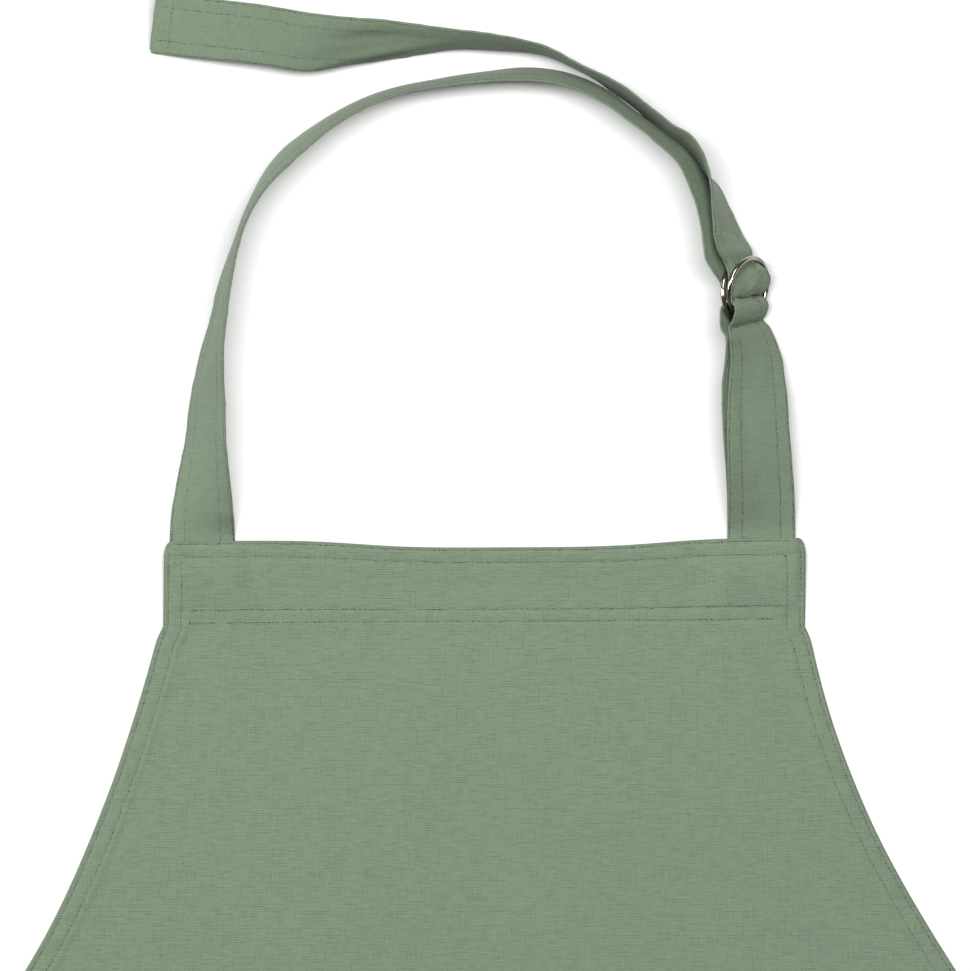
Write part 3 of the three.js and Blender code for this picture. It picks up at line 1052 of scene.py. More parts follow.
    def front_height(self, x: Array, depth: Array, inset: Array, run: Array) -> Array:
        """Height of the front above what the cloth lies on.

        It is the single cloth, plus the hems as smooth steps, less a dent along each line of stitches, plus
        an uneven pucker beside those lines, the creases and a slow wave over the whole cloth. The band's
        lines make no dent in the side hems.

        Args:
            x: Places across.
            depth: Depths below the top edge.
            inset: Distances from the side edge.
            run: Distances along the side edge.

        Returns:
            Height of the front at each place.
        """
        above_foot = self.length - depth
        past_hems = (inset - self.hem, depth - self.band, above_foot - self.foot_hem)
        hems = [1.0 - smooth_step(past, self.hem_slope) for past in past_hems]
        height = self.cloth + self.hem_rise * np.maximum.reduce(hems)
        deep, narrow = self.dent
        clear = inset > self.square_inset
        everywhere = np.ones_like(clear)
        for group, away, along, dented in (
            (self.side, inset, run, everywhere),
            (self.top, depth, x, everywhere),
            (self.band_seam, depth, x, clear),
            (self.foot, above_foot, x, everywhere),
        ):
            for k, line in enumerate(group.lines):
                uneven = group.pucker * ripple(along, self.pucker_waves, group.seed + k)
                dent = np.where(dented, deep * bell(away - line, narrow), 0.0)
                height = height - dent + uneven * bell(away - line, group.reach)
        for crease in PANEL_CREASES:
            height = height + crease.height_at(depth - crease.at, x - crease.across)
        slow = np.sin(x / 61.0 + 0.8) * np.sin(depth / 83.0 + 0.4) + 0.6 * np.sin(x / 29.0 - depth / 47.0)
        return height + np.where(depth < self.band + 1.0, *self.wave) * slow

    def rows(self) -> Array:
        """Rows of the grid as distances along the side edge: fine in the bib, coarser in the skirt.

        Returns:
            The distances.
        """
        total = float(self.edge.run[-1])
        below_band, bib_step, skirt_step, above_foot = 41.5, 3.0, 7.0, 30.0
        skirt = self.waist_depth + 90.0
        bib_rows = np.arange(below_band, skirt, bib_step)
        skirt_rows = np.arange(skirt, total - above_foot, skirt_step)
        return np.concatenate([TOP_ROWS, BAND_ROWS, bib_rows, skirt_rows, total - np.array(FOOT_ROWS)[::-1]])

    def sheet(self) -> FlatTube:
        """The whole cloth on a grid that is fine along its edges and seams.

        Columns are insets from both side edges with even shares between them. Rows are distances along the
        side edge. The front and the back meet in a half round at the folded edges.

        Returns:
            The closed cloth.
        """
        inner_columns, end_share = 100, 0.12
        run = self.rows()[:, None]
        insets = np.array(SIDE_COLUMNS + INNER_COLUMNS)[None]
        middle = np.linspace(-1.0, 1.0, inner_columns + 2)[None, 1:-1]
        half = self.edge.at(run)[0]
        left_x, left_depth = self.plan(run, insets, Side.LEFT)
        inner_x = -left_x[:, -1:] * middle
        inner_depth = np.repeat(left_depth[:, -1:], inner_columns, axis=1)
        inner_inset = np.maximum(half - np.abs(inner_x), insets[0, -1])
        outer_inset = np.repeat(insets, len(run), axis=0)
        x = np.hstack([left_x, inner_x, -left_x[:, ::-1]])
        depth = np.hstack([left_depth, inner_depth, left_depth[:, ::-1]])
        inset = np.hstack([outer_inset, inner_inset, outer_inset[:, ::-1]])
        front = self.front_height(x, depth, inset, np.repeat(run, x.shape[1], axis=1))
        lift = self.tuck_lift(x, depth)
        end = np.minimum(depth, self.length - depth)
        nearest = np.minimum(inset, end)
        bulge = np.where(end <= 0.0, end_share, quarter_round(nearest / self.fold))
        x, depth = self.round_corners(x, depth, inset, half)
        place, y = self.settle(x, depth)
        heights = (lift + front * (0.5 + share) for share in (bulge / 2, -bulge / 2))
        faces = [np.stack([place, y, height], axis=-1) for height in heights]
        return FlatTube.between(*faces, np.stack([x, y, nearest], axis=-1))

    def round_corners(self, x: Array, depth: Array, inset: Array, half: Array) -> tuple[Array, Array]:
        """Round the bib's and the foot's corners.

        A place (u, v) of the unit square goes to (u·sqrt(1 - v²/2), v·sqrt(1 - u²/2)) of the unit circle.

        Args:
            x: Places across.
            depth: Depths below the top edge.
            inset: Distances from the side edge.
            half: Half width of each row.

        Returns:
            The rounded places and depths.
        """
        wide, deep = self.corner
        end = np.minimum(depth, self.length - depth)
        u = np.clip(1.0 - inset / wide, 0.0, 1.0)
        v = np.clip(1.0 - end / deep, 0.0, 1.0)
        in_corner = (u > 0.0) & (v > 0.0)
        new_inset = wide * (1.0 - u * np.sqrt(1.0 - v**2 / 2.0))
        new_end = deep * (1.0 - v * np.sqrt(1.0 - u**2 / 2.0))
        new_x = np.where(in_corner, np.sign(x) * (half - new_inset), x)
        new_depth = np.where(depth < self.length / 2, new_end, self.length - new_end)
        return new_x, np.where(in_corner, new_depth, depth)

    def lay_seam(self, x: Array, depth: Array, inset: Array, run: Array) -> Seam:
        """A line of stitches laid on the front.

        Args:
            x: Places across.
            depth: Depths below the top edge.
            inset: Distances from the side edge.
            run: Distances along the side edge.

        Returns:
            The seam.
        """
        height = self.front_height(x, depth, inset, run) + self.tuck_lift(x, depth)
        path = np.stack([*self.settle(x, depth), height], axis=-1)
        return Seam(path, np.broadcast_to([0.0, 0.0, 1.0], path.shape))

    def seams(self) -> list[Seam]:
        """Every line of stitches on the front.

        Returns:
            Side lines from the band to the foot, top edge lines, band lines with back tacks and foot lines.
        """
        fine, bend, foot_margin = 0.5, 3.2, 3.0
        tack_back, tack_on, tack_drop = 0.6, 4.0, 1.3
        half = self.bib_half
        seams, across = [], []
        for side in Side:
            for line, start in zip(self.side.lines, self.side_starts):
                run = np.arange(start, float(self.edge.run[-1]) - self.foot.lines[0], fine)
                inset = np.full_like(run, line)
                seams.append(self.lay_seam(*self.plan(run, inset, side), inset, run))
        for line, margin in zip(self.top.lines, self.top_margins):
            x = np.arange(margin - half, half - margin, fine)
            across.append((x, np.full_like(x, line)))
        for side in Side:
            turn = np.linspace(0.0, np.pi / 2, 12)
            x = side.value * (half - self.side.lines[1] - bend + bend * np.sin(turn))
            across.append((x, self.top.lines[1] + bend - bend * np.cos(turn)))
        for line, last in zip(self.band_seam.lines, self.band_ends):
            x = np.arange(self.band_start, last, fine)
            across.append((x, line - x / half))
            tack = np.arange(self.band_start - tack_back, self.band_start + tack_on, fine)
            across.append((tack, np.full_like(tack, line + tack_drop)))
        seams += [self.lay_seam(x, depth, half - np.abs(x), depth) for x, depth in across]
        for line in self.foot.lines:
            x = np.arange(foot_margin - self.waist_half, self.waist_half - foot_margin, fine)
            depth = np.full_like(x, self.length - line)
            seams.append(self.lay_seam(x, depth, self.waist_half - np.abs(x), depth))
        return seams

    def build(self, shop: Workshop) -> list[Object]:
        """Args:
            shop: What makes and dresses the pieces.

        Returns:
            The cloth and the stitching.
        """
        cloth, stitching = shop.dress("apron", Slot.APRON, self.sheet(), self.seams(), self.seed)
        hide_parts(self.node)
        return [cloth, stitching]


STRAP_WIDTH = 30.0
ROUTE_LAYER = 1.2


def standing_sections(stations: tuple[Station, ...], width: float = STRAP_WIDTH, layer: int = 0) -> Array:
    """Cross sections of a strap that stands on its outer edge along a route.

    The direction across is the inward normal of the route turned up by the roll. The middle stands half the
    raised width and half the tilted pile above the floor, and a layer of a pair is moved half the pair's
    spacing along the strap's own normal.

    Args:
        stations: Places on the route.
        width: Width of the strap.
        layer: 0 for a single strap, -1 for the back one of a pair and 1 for the front one.

    Returns:
        Outer edge, middle and inner edge of each section.
    """
    x, y, roll, lift, curl, apart = np.array(stations).T
    number = np.arange(x.size)
    before, after = np.maximum(number - 1, 0), np.minimum(number + 1, x.size - 1)
    heading = unit(np.stack([x[after] - x[before], y[after] - y[before], np.zeros_like(x)], axis=1))
    lean = np.radians(roll)
    across = np.stack([heading[:, 1] * np.cos(lean), -heading[:, 0] * np.cos(lean), np.sin(lean)], axis=1)
    normal = np.cross(across, heading)
    pile = ROUTE_LAYER if layer == 0 else 2 * ROUTE_LAYER + apart
    height = (width * np.abs(np.sin(lean)) + pile * np.abs(np.cos(lean))) / 2 + lift
    offset = layer * (ROUTE_LAYER + apart) / 2
    middle = np.stack([x, y, height], axis=1) + normal * offset[:, None]
    reach = across * width / 2
    return np.stack([middle - reach, middle + normal * curl[:, None], middle + reach], axis=1)


@dataclass(frozen=True)
class RingFrame:
    """The leaning plane that the two rings and the gathered straps share.

    Attributes:
        seat: Where the lower ring's near side sits, in the layout.
        roll: How far the plane stands up from the floor.
        lean: How far the tab leans to the left.
        radius: Radius of a ring at the middle of its wire.
        wire: Radius of the wire.
    """

    seat: Triple = (116.0, 101.7, 11.0)
    roll: float = math.radians(54.0)
    lean: float = math.radians(4.0)
    radius: float = 13.85
    wire: float = 1.15

    def axes(self) -> Array:
        """Directions along the tab, across it to the raised edge, and out of the plane.

        Returns:
            One direction per row.
        """
        along = np.array([-math.sin(self.lean), math.cos(self.lean), 0.0])
        outside = np.array([along[1], -along[0], 0.0])
        across = -outside * math.cos(self.roll) + np.array([0.0, 0.0, math.sin(self.roll)])
        return np.stack([along, across, np.cross(along, across)])

    def place(self, local: Array) -> Array:
        """Points given along, across and out of the ring frame as points of the layout."""
        return np.array(self.seat) + np.asarray(local) @ self.axes()


@dataclass
class Strap:
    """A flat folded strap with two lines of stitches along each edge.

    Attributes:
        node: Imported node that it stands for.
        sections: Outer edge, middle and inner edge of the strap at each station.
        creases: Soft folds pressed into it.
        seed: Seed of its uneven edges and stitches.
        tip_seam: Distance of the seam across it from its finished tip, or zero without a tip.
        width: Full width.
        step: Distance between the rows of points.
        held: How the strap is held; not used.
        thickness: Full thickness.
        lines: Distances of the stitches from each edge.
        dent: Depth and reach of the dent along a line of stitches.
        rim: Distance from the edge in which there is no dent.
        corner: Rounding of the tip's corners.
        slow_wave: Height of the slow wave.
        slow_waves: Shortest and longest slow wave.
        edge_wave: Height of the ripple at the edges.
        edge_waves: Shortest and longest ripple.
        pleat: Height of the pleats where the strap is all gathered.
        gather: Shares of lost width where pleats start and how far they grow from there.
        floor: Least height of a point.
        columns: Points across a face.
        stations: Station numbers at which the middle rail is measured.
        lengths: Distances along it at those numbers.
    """

    node: str
    sections: Array
    creases: tuple[Crease, ...] = ()
    seed: int = 5
    tip_seam: float = 0.0
    width: float = STRAP_WIDTH
    step: float = 1.0
    held: str = "laid"
    thickness: float = 1.25
    lines: Pair = (1.0, 6.8)
    dent: Pair = (0.13, 0.5)
    rim: float = 0.2
    corner: float = 2.6
    slow_wave: float = 0.18
    slow_waves: Pair = (31.0, 97.0)
    edge_wave: float = 0.16
    edge_waves: Pair = (8.0, 27.0)
    pleat: float = 1.6
    gather: Pair = (0.04, 0.3)
    floor: float = 0.05
    columns: int = 27
    stations: Array = field(init=False)
    lengths: Array = field(init=False)

    def __post_init__(self) -> None:
        """Measure the middle rail, so that rows can be spaced evenly along it."""
        per_station = 60
        self.stations = np.linspace(0.0, len(self.sections) - 1.0, per_station * len(self.sections))
        self.lengths = path_lengths(catmull_rom(self.sections[:, 1], self.stations))

    @property
    def length(self) -> float:
        """Length along the middle of the strap."""
        return float(self.lengths[-1])

    @property
    def cross_seams(self) -> Array:
        """Distances along the strap of the seams that cross it."""
        return np.array([self.length - self.tip_seam] if self.tip_seam else [])

    def plain(self, run: Array, across: Array) -> Array:
        """Middle surface before its wrinkles.

        Across the strap it is the parabola through the outer, middle and inner rails.

        Args:
            run: Distances along the strap.
            across: Places across, from -1 on the outer edge to 1 on the inner one.

        Returns:
            Points by run and place across.
        """
        at = np.interp(run, self.lengths, self.stations)
        outer, middle, inner = (catmull_rom(self.sections[:, k], at)[:, None, :] for k in range(3))
        q = (across[None, :] * self.tip(run)[:, None])[..., None]
        return middle * (1.0 - q * q) + outer * (q * q - q) / 2.0 + inner * (q * q + q) / 2.0

    def tip(self, run: Array) -> Array:
        """Share of the full width that is left near a finished tip, whose corners are quarter circles."""
        lost = self.corner / (self.width / 2) if self.tip_seam else 0.0
        return 1.0 - lost * (1.0 - quarter_round((self.length - run) / self.corner))

    def normals(self, run: Array, across: Array) -> Array:
        """Normals of the plain middle surface from differences along and across it.

        Args:
            run: Distances along the strap.
            across: Places across from -1 to 1.

        Returns:
            Unit normals by run and place across.
        """
        ahead, aside = 0.4, 0.05
        along = self.plain(run + ahead, across) - self.plain(run - ahead, across)
        over = self.plain(run, across + aside) - self.plain(run, across - aside)
        return unit(np.cross(over, along))

    def wrinkles(self, run: Array, across: Array) -> Array:
        """How far the cloth stands out of its plain surface.

        It is a slow wave, a ripple that grows with the fourth power towards the edges, pleats as deep as the
        strap is gathered there, and the soft creases, each a bell curve in its own turned axes.

        Args:
            run: Distances along the strap.
            across: Places across from -1 to 1.

        Returns:
            Height by run and place across.
        """
        r, q = run[:, None], across[None, :]
        height = self.slow_wave * ripple(run, self.slow_waves, self.seed)[:, None] * (1.0 - q * q)
        for k, sign in enumerate((-1.0, 1.0), start=1):
            edge = ripple(run, self.edge_waves, self.seed + k)[:, None]
            height = height + self.edge_wave * edge * np.clip(sign * q, 0.0, 1.0) ** 4
        edges = self.plain(run, np.array([-1.0, 1.0]))
        gathered = 1.0 - np.linalg.norm(edges[:, 1] - edges[:, 0], axis=1) / self.width
        slack, most = self.gather
        pleats = self.pleat * np.clip(gathered - slack, 0.0, most)[:, None]
        pleat_turns, pleat_slip = 7.5, 9.0
        height = height + pleats * np.cos(pleat_turns * q + r / pleat_slip)
        for crease in self.creases:
            start = np.interp(crease.at, self.stations, self.lengths)
            height = height + crease.height_at(r - start, (q - crease.across) * self.width / 2)
        return height

    def pile(self, run: Array, across: Array) -> Array:
        """Half thickness: round at the folded edges, dented along the stitches and full between.

        Args:
            run: Distances along the strap.
            across: Places across from -1 to 1.

        Returns:
            Half thickness by run and place across.
        """
        fold, end_rise = self.thickness * 0.6, 0.05
        deep, narrow = self.dent
        inset = (1.0 - np.abs(across)) * self.width / 2
        inside = inset > self.rim
        half = np.repeat((self.thickness / 2 * quarter_round(inset / fold))[None, :], len(run), axis=0)
        for line in self.lines:
            half = half - deep * bell(inset - line, narrow) * inside
        for seam in self.cross_seams:
            half = half - deep * bell(run - seam, narrow)[:, None] * inside
        near = np.minimum(run, self.length - run)[:, None]
        return np.maximum(half, 0.0) * quarter_round((near + end_rise) / fold)

    def face(self, run: Array, across: Array, face: Face) -> tuple[Array, Array]:
        """Points of one face and the directions out of it.

        Args:
            run: Distances along the strap.
            across: Places across from -1 to 1.
            face: Which face.

        Returns:
            Points and outward directions, by run and place across.
        """
        normal = self.normals(run, across)
        out = normal * face.value
        stand = self.wrinkles(run, across)[..., None]
        points = self.plain(run, across) + normal * stand + out * self.pile(run, across)[..., None]
        points[..., 2] = np.maximum(points[..., 2], self.floor)
        return points, out

    def sheet(self) -> FlatTube:
        """The whole strap, with places across that are sines of even angles and so crowd at the edges.

        Returns:
            The closed strap.
        """
        run = np.linspace(0.0, self.length, int(self.length / self.step) + 1)
        across = np.sin(np.linspace(-np.pi / 2, np.pi / 2, self.columns))
        front, back = (self.face(run, across, face)[0] for face in Face)
        inset = (1.0 - np.abs(across)) * self.width / 2
        pattern = np.broadcast_arrays(across * self.width / 2, run[:, None], inset)
        return FlatTube.between(front, back, np.stack(pattern, axis=-1))

    def seams(self) -> list[Seam]:
        """Lines of stitches along both edges and across the strap, on both faces.

        Returns:
            The seams.
        """
        margin, fine, across_points = 2.0, 0.6, 61
        half = self.width / 2
        places = np.array([s * (1.0 - line / half) for s in (-1.0, 1.0) for line in self.lines])
        run = np.arange(margin, self.length - margin, fine)
        over = np.linspace(-1.0, 1.0, across_points) * (1.0 - self.lines[0] / half)
        seams = []
        for face in Face:
            points, out = self.face(run, places, face)
            seams += [Seam(points[:, k], out[:, k]) for k in range(places.size)]
            if self.tip_seam:
                points, out = self.face(self.cross_seams, over, face)
                seams.append(Seam(points[0], out[0]))
        return seams

    def build(self, shop: Workshop) -> list[Object]:
        """Args:
            shop: What makes and dresses the pieces.

        Returns:
            The strap and the stitching.
        """
        cloth, stitching = shop.dress(self.node, Slot.STRAP, self.sheet(), self.seams(), self.seed)
        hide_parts(self.node)
        return [cloth, stitching]


# Neck loop, from the sewn end up the left, over the top and down the right to the rings
NECK_LOOP = (
    Station(-130.0, -10.0, 0),
    Station(-130.0, 4.0, 1.5),
    Station(-129.8, 16.0, 19),
    Station(-129.2, 30.0, 36),
    Station(-128.3, 48.0, 51),
    Station(-127.3, 67.0, 58),
    Station(-125.8, 85.0, 68),
    Station(-122.4, 104.0, 76),
    Station(-118.9, 122.0, 80, curl=0.6),
    Station(-111.8, 145.0, 87, curl=1.0),
    Station(-103.5, 163.0, 83, curl=1.4),
    Station(-94.3, 175.0, 77, curl=1.8),
    Station(-85.1, 183.5, 77, curl=2.0),
    Station(-70.9, 193.9, 81, curl=2.0),
    Station(-54.7, 202.8, 83, curl=2.0),
    Station(-39.0, 208.2, 85, curl=2.0),
    Station(-20.0, 211.8, 85, curl=2.0),
    Station(0.0, 214.7, 82, curl=2.0),
    Station(18.0, 216.0, 79, curl=2.0),
    Station(36.0, 214.0, 79, curl=2.0),
    Station(53.3, 206.9, 79, curl=2.0),
    Station(67.5, 196.6, 81, curl=2.2),
    Station(80.5, 186.6, 80, curl=2.6),
    Station(91.0, 177.4, 77, curl=2.6),
    Station(98.5, 165.0, 72, curl=2.6),
    Station(103.3, 154.5, 67, curl=2.4),
    Station(107.0, 143.5, 60, 0.5, 1.8),
    Station(109.6, 133.5, 55, 1.5, 1.0),
)

# Loose end, from the rings to its tip, on its other face past a roll of 90 degrees
LOOSE_END = (
    Station(111.6, 142.0, 115, 2.5),
    Station(108.4, 154.0, 106, 1.0),
    Station(105.4, 164.5, 97, 0.5),
    Station(101.3, 172.4, 85),
    Station(97.0, 179.9, 80),
    Station(91.5, 185.5, 75),
    Station(85.2, 189.6, 77),
    Station(75.5, 198.5, 82),
    Station(60.5, 210.0, 82),
    Station(45.0, 219.0, 87, curl=1.0),
    Station(27.0, 227.8, 85, curl=2.0),
    Station(6.0, 231.6, 80, curl=3.0),
    Station(-13.0, 232.8, 75, curl=3.5),
    Station(-29.0, 232.5, 65, curl=3.5),
    Station(-45.0, 232.3, 54, 4.0, 3.0),
    Station(-63.0, 231.4, 43, 10.0, 2.0),
    Station(-82.0, 231.2, 28, 15.0, 0.8),
    Station(-103.0, 234.4, 25, 15.0),
    Station(-129.0, 237.4, 22, 9.0),
    Station(-152.6, 240.4, 19, 0.4),
)

# Strap in the rings: under both, round inside them with a bulge over the upper one's side, and out again
STRAP_PASSAGE = (
    RingStation((24.0, -10.3, 0.6), (24.0, 3.2, 0.6), (24.0, 16.7, 0.6)),
    RingStation((19.0, -10.6, 0.6), (19.0, 0.6, 0.6), (19.0, 11.6, 0.6)),
    RingStation((14.2, -11.0, 0.9), (13.4, 0.0, 0.9), (12.8, 10.8, 0.9)),
    RingStation((13.8, -11.6, 3.6), (12.6, -0.6, 2.9), (11.9, 10.8, 2.6)),
    RingStation((14.1, -12.2, 7.4), (13.0, -1.2, 6.0), (12.3, 10.8, 4.6)),
    RingStation((16.9, -12.6, 10.3), (16.5, -1.4, 8.5), (16.1, 11.0, 5.2)),
    RingStation((20.6, -11.8, 11.7), (20.0, -1.0, 8.6), (19.4, 11.4, 5.2)),
    RingStation((24.2, -8.8, 12.0), (23.8, -0.2, 7.7), (23.4, 11.6, 5.1)),
    RingStation((26.8, -6.4, 9.4), (26.6, 0.8, 6.4), (26.4, 12.2, 4.9)),
    RingStation((29.8, -7.2, 5.6), (29.6, 2.0, 5.7), (29.4, 14.0, 4.8)),
    RingStation((33.0, -8.6, 4.7), (33.0, 4.4, 6.1), (33.0, 17.4, 4.7)),
)

# Soft folds of the neck strap: up the left side, in and beside the rings, and where the loose end turns over
STRAP_CREASES = (
    Crease(2.6, -0.5, 13.0, 3.0, -20.0, 0.5),
    Crease(5.0, 0.35, 15.0, 2.6, 30.0, -0.6),
    Crease(5.7, 0.0, 16.0, 3.0, 38.0, 0.8),
    Crease(7.4, -0.2, 14.0, 3.0, 20.0, -0.5),
    Crease(33.2, 0.0, 7.5, 0.9, -55.0, -1.8),
    Crease(32.9, 0.14, 7.5, 1.6, -55.0, 1.0),
    Crease(38.4, -0.5, 4.5, 1.2, 50.0, 0.5),
    Crease(38.7, -0.2, 5.0, 1.2, 60.0, -0.6),
    Crease(39.2, 0.2, 5.0, 1.1, 70.0, 0.5),
    Crease(53.2, -0.3, 26.0, 3.2, -16.0, 2.2),
    Crease(53.3, -0.75, 22.0, 2.6, -14.0, -0.7),
    Crease(53.4, 0.35, 20.0, 2.8, -8.0, -1.1),
)

# Tab round the near sides of the rings: up behind them, over inside them and down to the crossing crease
TAB_LOOP = (
    RingStation((0.4, -14.6, 0.8), (-1.0, -0.4, 0.7), (-2.4, 14.2, 0.9)),
    RingStation((4.2, -13.6, 0.6), (3.0, 0.4, 0.6), (1.8, 14.4, 0.6)),
    RingStation((10.2, -12.4, 1.0), (9.2, 0.4, 1.0), (8.2, 13.4, 1.0)),
    RingStation((11.4, -11.8, 2.4), (10.3, 0.0, 2.4), (9.4, 11.6, 2.4)),
    RingStation((11.9, -11.6, 4.3), (10.8, 0.0, 4.4), (9.9, 11.5, 4.3)),
    RingStation((11.4, -11.8, 6.4), (10.3, 0.0, 6.4), (9.4, 11.8, 6.4)),
    RingStation((9.9, -12.6, 8.2), (8.9, 0.0, 8.0), (8.0, 12.4, 8.2)),
    RingStation((7.6, -13.4, 8.6), (6.4, 0.0, 8.6), (5.2, 13.0, 8.6)),
    RingStation((4.4, -13.8, 7.0), (3.0, -0.2, 7.4), (1.6, 13.4, 7.0)),
    RingStation((0.8, -14.2, 4.6), (-0.6, -0.6, 4.6), (-2.0, 13.4, 4.6)),
)

# Tab from the rings down to the bib, as the middle between its two layers
TAB_RUN = (
    Station(120.7, 97.6, 52, 0.3, apart=0.9),
    Station(122.2, 91.5, 46.5, 0.2, apart=1.8),
    Station(123.2, 85.1, 40.5, 0.5, apart=3.0),
    Station(123.4, 77.5, 35.5, 2.0, apart=4.2),
    Station(123.8, 68.0, 28.5, 4.0, apart=4.6),
    Station(124.6, 52.0, 22, 6.5, apart=3.6),
    Station(125.9, 36.0, 16, 6.5, apart=1.8),
    Station(126.8, 22.0, 9, 4.0, apart=0.8),
    Station(127.1, 6.0, 0, apart=0.3),
    Station(127.1, -10.0, 0, apart=0.3),
)

# Soft folds of the tab: upright ones on the loop and long ones below it
TAB_CREASES = (
    Crease(18.9, 0.0, 18.0, 0.8, 90.0, -1.1),
    Crease(17.0, -0.45, 7.0, 0.8, 0.0, -0.5),
    Crease(17.2, 0.1, 6.0, 0.8, 3.0, -0.4),
    Crease(22.0, -0.3, 14.0, 3.0, 15.0, 0.4),
    Crease(25.0, 0.4, 20.0, 3.0, -8.0, -0.4),
)

# Waist tie, from the sewn end out of the side hem: distance from the side edge, way down and roll
WAIST_TIE = (
    (-12.0, 0.0, 0.0),
    (4.0, 0.0, 0.0),
    (24.0, 1.0, 12.0),
    (45.0, 5.0, 48.0),
    (62.0, 15.0, 73.0),
    (73.0, 31.0, 80.0),
    (78.0, 52.0, 72.0),
    (79.0, 78.0, 45.0),
    (78.0, 110.0, 16.0),
    (77.0, 150.0, 2.0),
    (76.0, 250.0, 0.0),
    (78.0, 360.0, 0.0),
    (81.0, 480.0, 0.0),
)

# Rings, the lower one flat in the ring frame and the upper one tipped up over it
RING_POSES = (
    RingPose("ring_lower", -0.2, 2.65, 1.0, 0.0),
    RingPose("ring_upper", 2.7, 4.1, -3.0, 14.0),
)

# Distance of the seam across a finished tip from its end
TIP_SEAM = 9.0


@dataclass
class Harness:
    """Neck strap, ring tab and rings.

    Attributes:
        frame: Plane of the rings.
        tab_width: Width of the tab.
        tab_step: Distance between the rows of the tab's points.
        seeds: Seeds of the neck strap and the tab.
        ring_points: Points round a ring and round its wire.
    """

    frame: RingFrame = RingFrame()
    tab_width: float = 31.2
    tab_step: float = 0.7
    seeds: tuple[int, int] = (51, 71)
    ring_points: tuple[int, int] = (120, 20)

    def neck_strap(self) -> Strap:
        """The neck loop, its passage through the rings and its loose end, as one strap."""
        route = (standing_sections(NECK_LOOP), self.frame.place(STRAP_PASSAGE), standing_sections(LOOSE_END))
        return Strap("neck_strap", np.concatenate(route), STRAP_CREASES, self.seeds[0], TIP_SEAM)

    def ring_tab(self) -> Strap:
        """The doubled tab: up its back layer, round the rings and down its front layer.

        Returns:
            The ring tab.
        """
        back, front = (standing_sections(TAB_RUN, self.tab_width, layer) for layer in (-1, 1))
        sections = np.concatenate([back[::-1], self.frame.place(TAB_LOOP), front])
        sizes = {"width": self.tab_width, "step": self.tab_step}
        return Strap("ring_tab", sections, TAB_CREASES, self.seeds[1], held="folded", **sizes)

    def ring(self, pose: RingPose, shop: Workshop) -> Object:
        """A ring of bent wire.

        A point of the wire lies at the ring's radius plus the wire's radius times the cosine of the turn
        round the wire, turned round the ring's middle. The ring is then rolled about its middle line along
        the tab and tipped up about its near side.

        Args:
            pose: Where the ring sits and how it is turned.
            shop: What makes and dresses the pieces.

        Returns:
            The ring.
        """
        frame = self.frame
        round_ring, round_wire = (np.linspace(0.0, TURN, count, endpoint=False) for count in self.ring_points)
        turn = round_ring[:, None]
        reach = frame.radius + frame.wire * np.cos(round_wire)
        circles = (reach * np.cos(turn) + frame.radius, reach * np.sin(turn), frame.wire * np.sin(round_wire))
        along, across, level = np.broadcast_arrays(*circles)
        roll, pitch = math.radians(pose.roll), math.radians(pose.pitch)
        rolled = across * math.cos(roll) - level * math.sin(roll)
        raised = across * math.sin(roll) + level * math.cos(roll)
        ahead = along * math.cos(pitch) - raised * math.sin(pitch) + pose.along
        height = along * math.sin(pitch) + raised * math.cos(pitch) + pose.level
        points = frame.place(np.stack([ahead, rolled, height], axis=-1).reshape(-1, 3))
        index = np.arange(along.size).reshape(along.shape)
        next_ring, beside = np.roll(index, -1, axis=0), np.roll(index, -1, axis=1)
        faces = np.stack([index, next_ring, np.roll(next_ring, -1, axis=1), beside], axis=-1).reshape(-1, 4)
        piece = show(f"{pose.node}_wire", shop.layout.place(points), faces.tolist(), [shop.finishes.nickel])
        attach(piece, BODY)
        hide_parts(pose.node)
        return piece

    def build(self, shop: Workshop) -> list[Object]:
        """Make the neck strap, the tab and both rings."""
        pieces = self.neck_strap().build(shop) + self.ring_tab().build(shop)
        return pieces + [self.ring(pose, shop) for pose in RING_POSES]


@dataclass
class WaistTies:
    """The two ties that come out of the side hems at the waist.

    Attributes:
        panel: Panel that they are sewn to.
        step: Distance between the rows of a tie's points.
        seed: Seed halfway between the seeds of the two ties.
    """

    panel: ApronPanel
    step: float = 1.4
    seed: int = 90

    def tie(self, side: Side) -> Strap:
        """One tie along the shared route, mirrored on the left.

        Args:
            side: Which side.

        Returns:
            The tie.
        """
        across, down, roll = np.array(WAIST_TIE).T
        x = side.value * (self.panel.waist_half + across)
        y = -(self.panel.waist_depth + self.panel.tie_drop + down)
        turned = roll if side is Side.RIGHT else 180.0 - roll
        sections = standing_sections(tuple(Station(*row) for row in zip(x, y, turned)))
        seed = self.seed + side.value
        return Strap(f"waist_tie_{side.name.lower()}", sections, (), seed, TIP_SEAM, step=self.step)

    def build(self, shop: Workshop) -> list[Object]:
        """Make both ties."""
        return [piece for side in Side for piece in self.tie(side).build(shop)]


class SoftBox(NamedTuple):
    """A soft light: place and size in metres, power in watts and whether it also lights the floor."""

    name: str
    place: Triple
    size: Pair
    power: float
    on_floor: bool


# A long box above, and fills from the left and the far side that are kept off the floor
SOFT_BOXES = (
    SoftBox("overhead_box", (0.0, 0.72, 2.2), (2.2, 0.5), 60.0, True),
    SoftBox("left_fill", (-1.9, 0.6, 1.3), (1.0, 1.0), 33.0, False),
    SoftBox("far_fill", (0.2, 1.7, 1.9), (1.0, 1.0), 28.0, False),
)


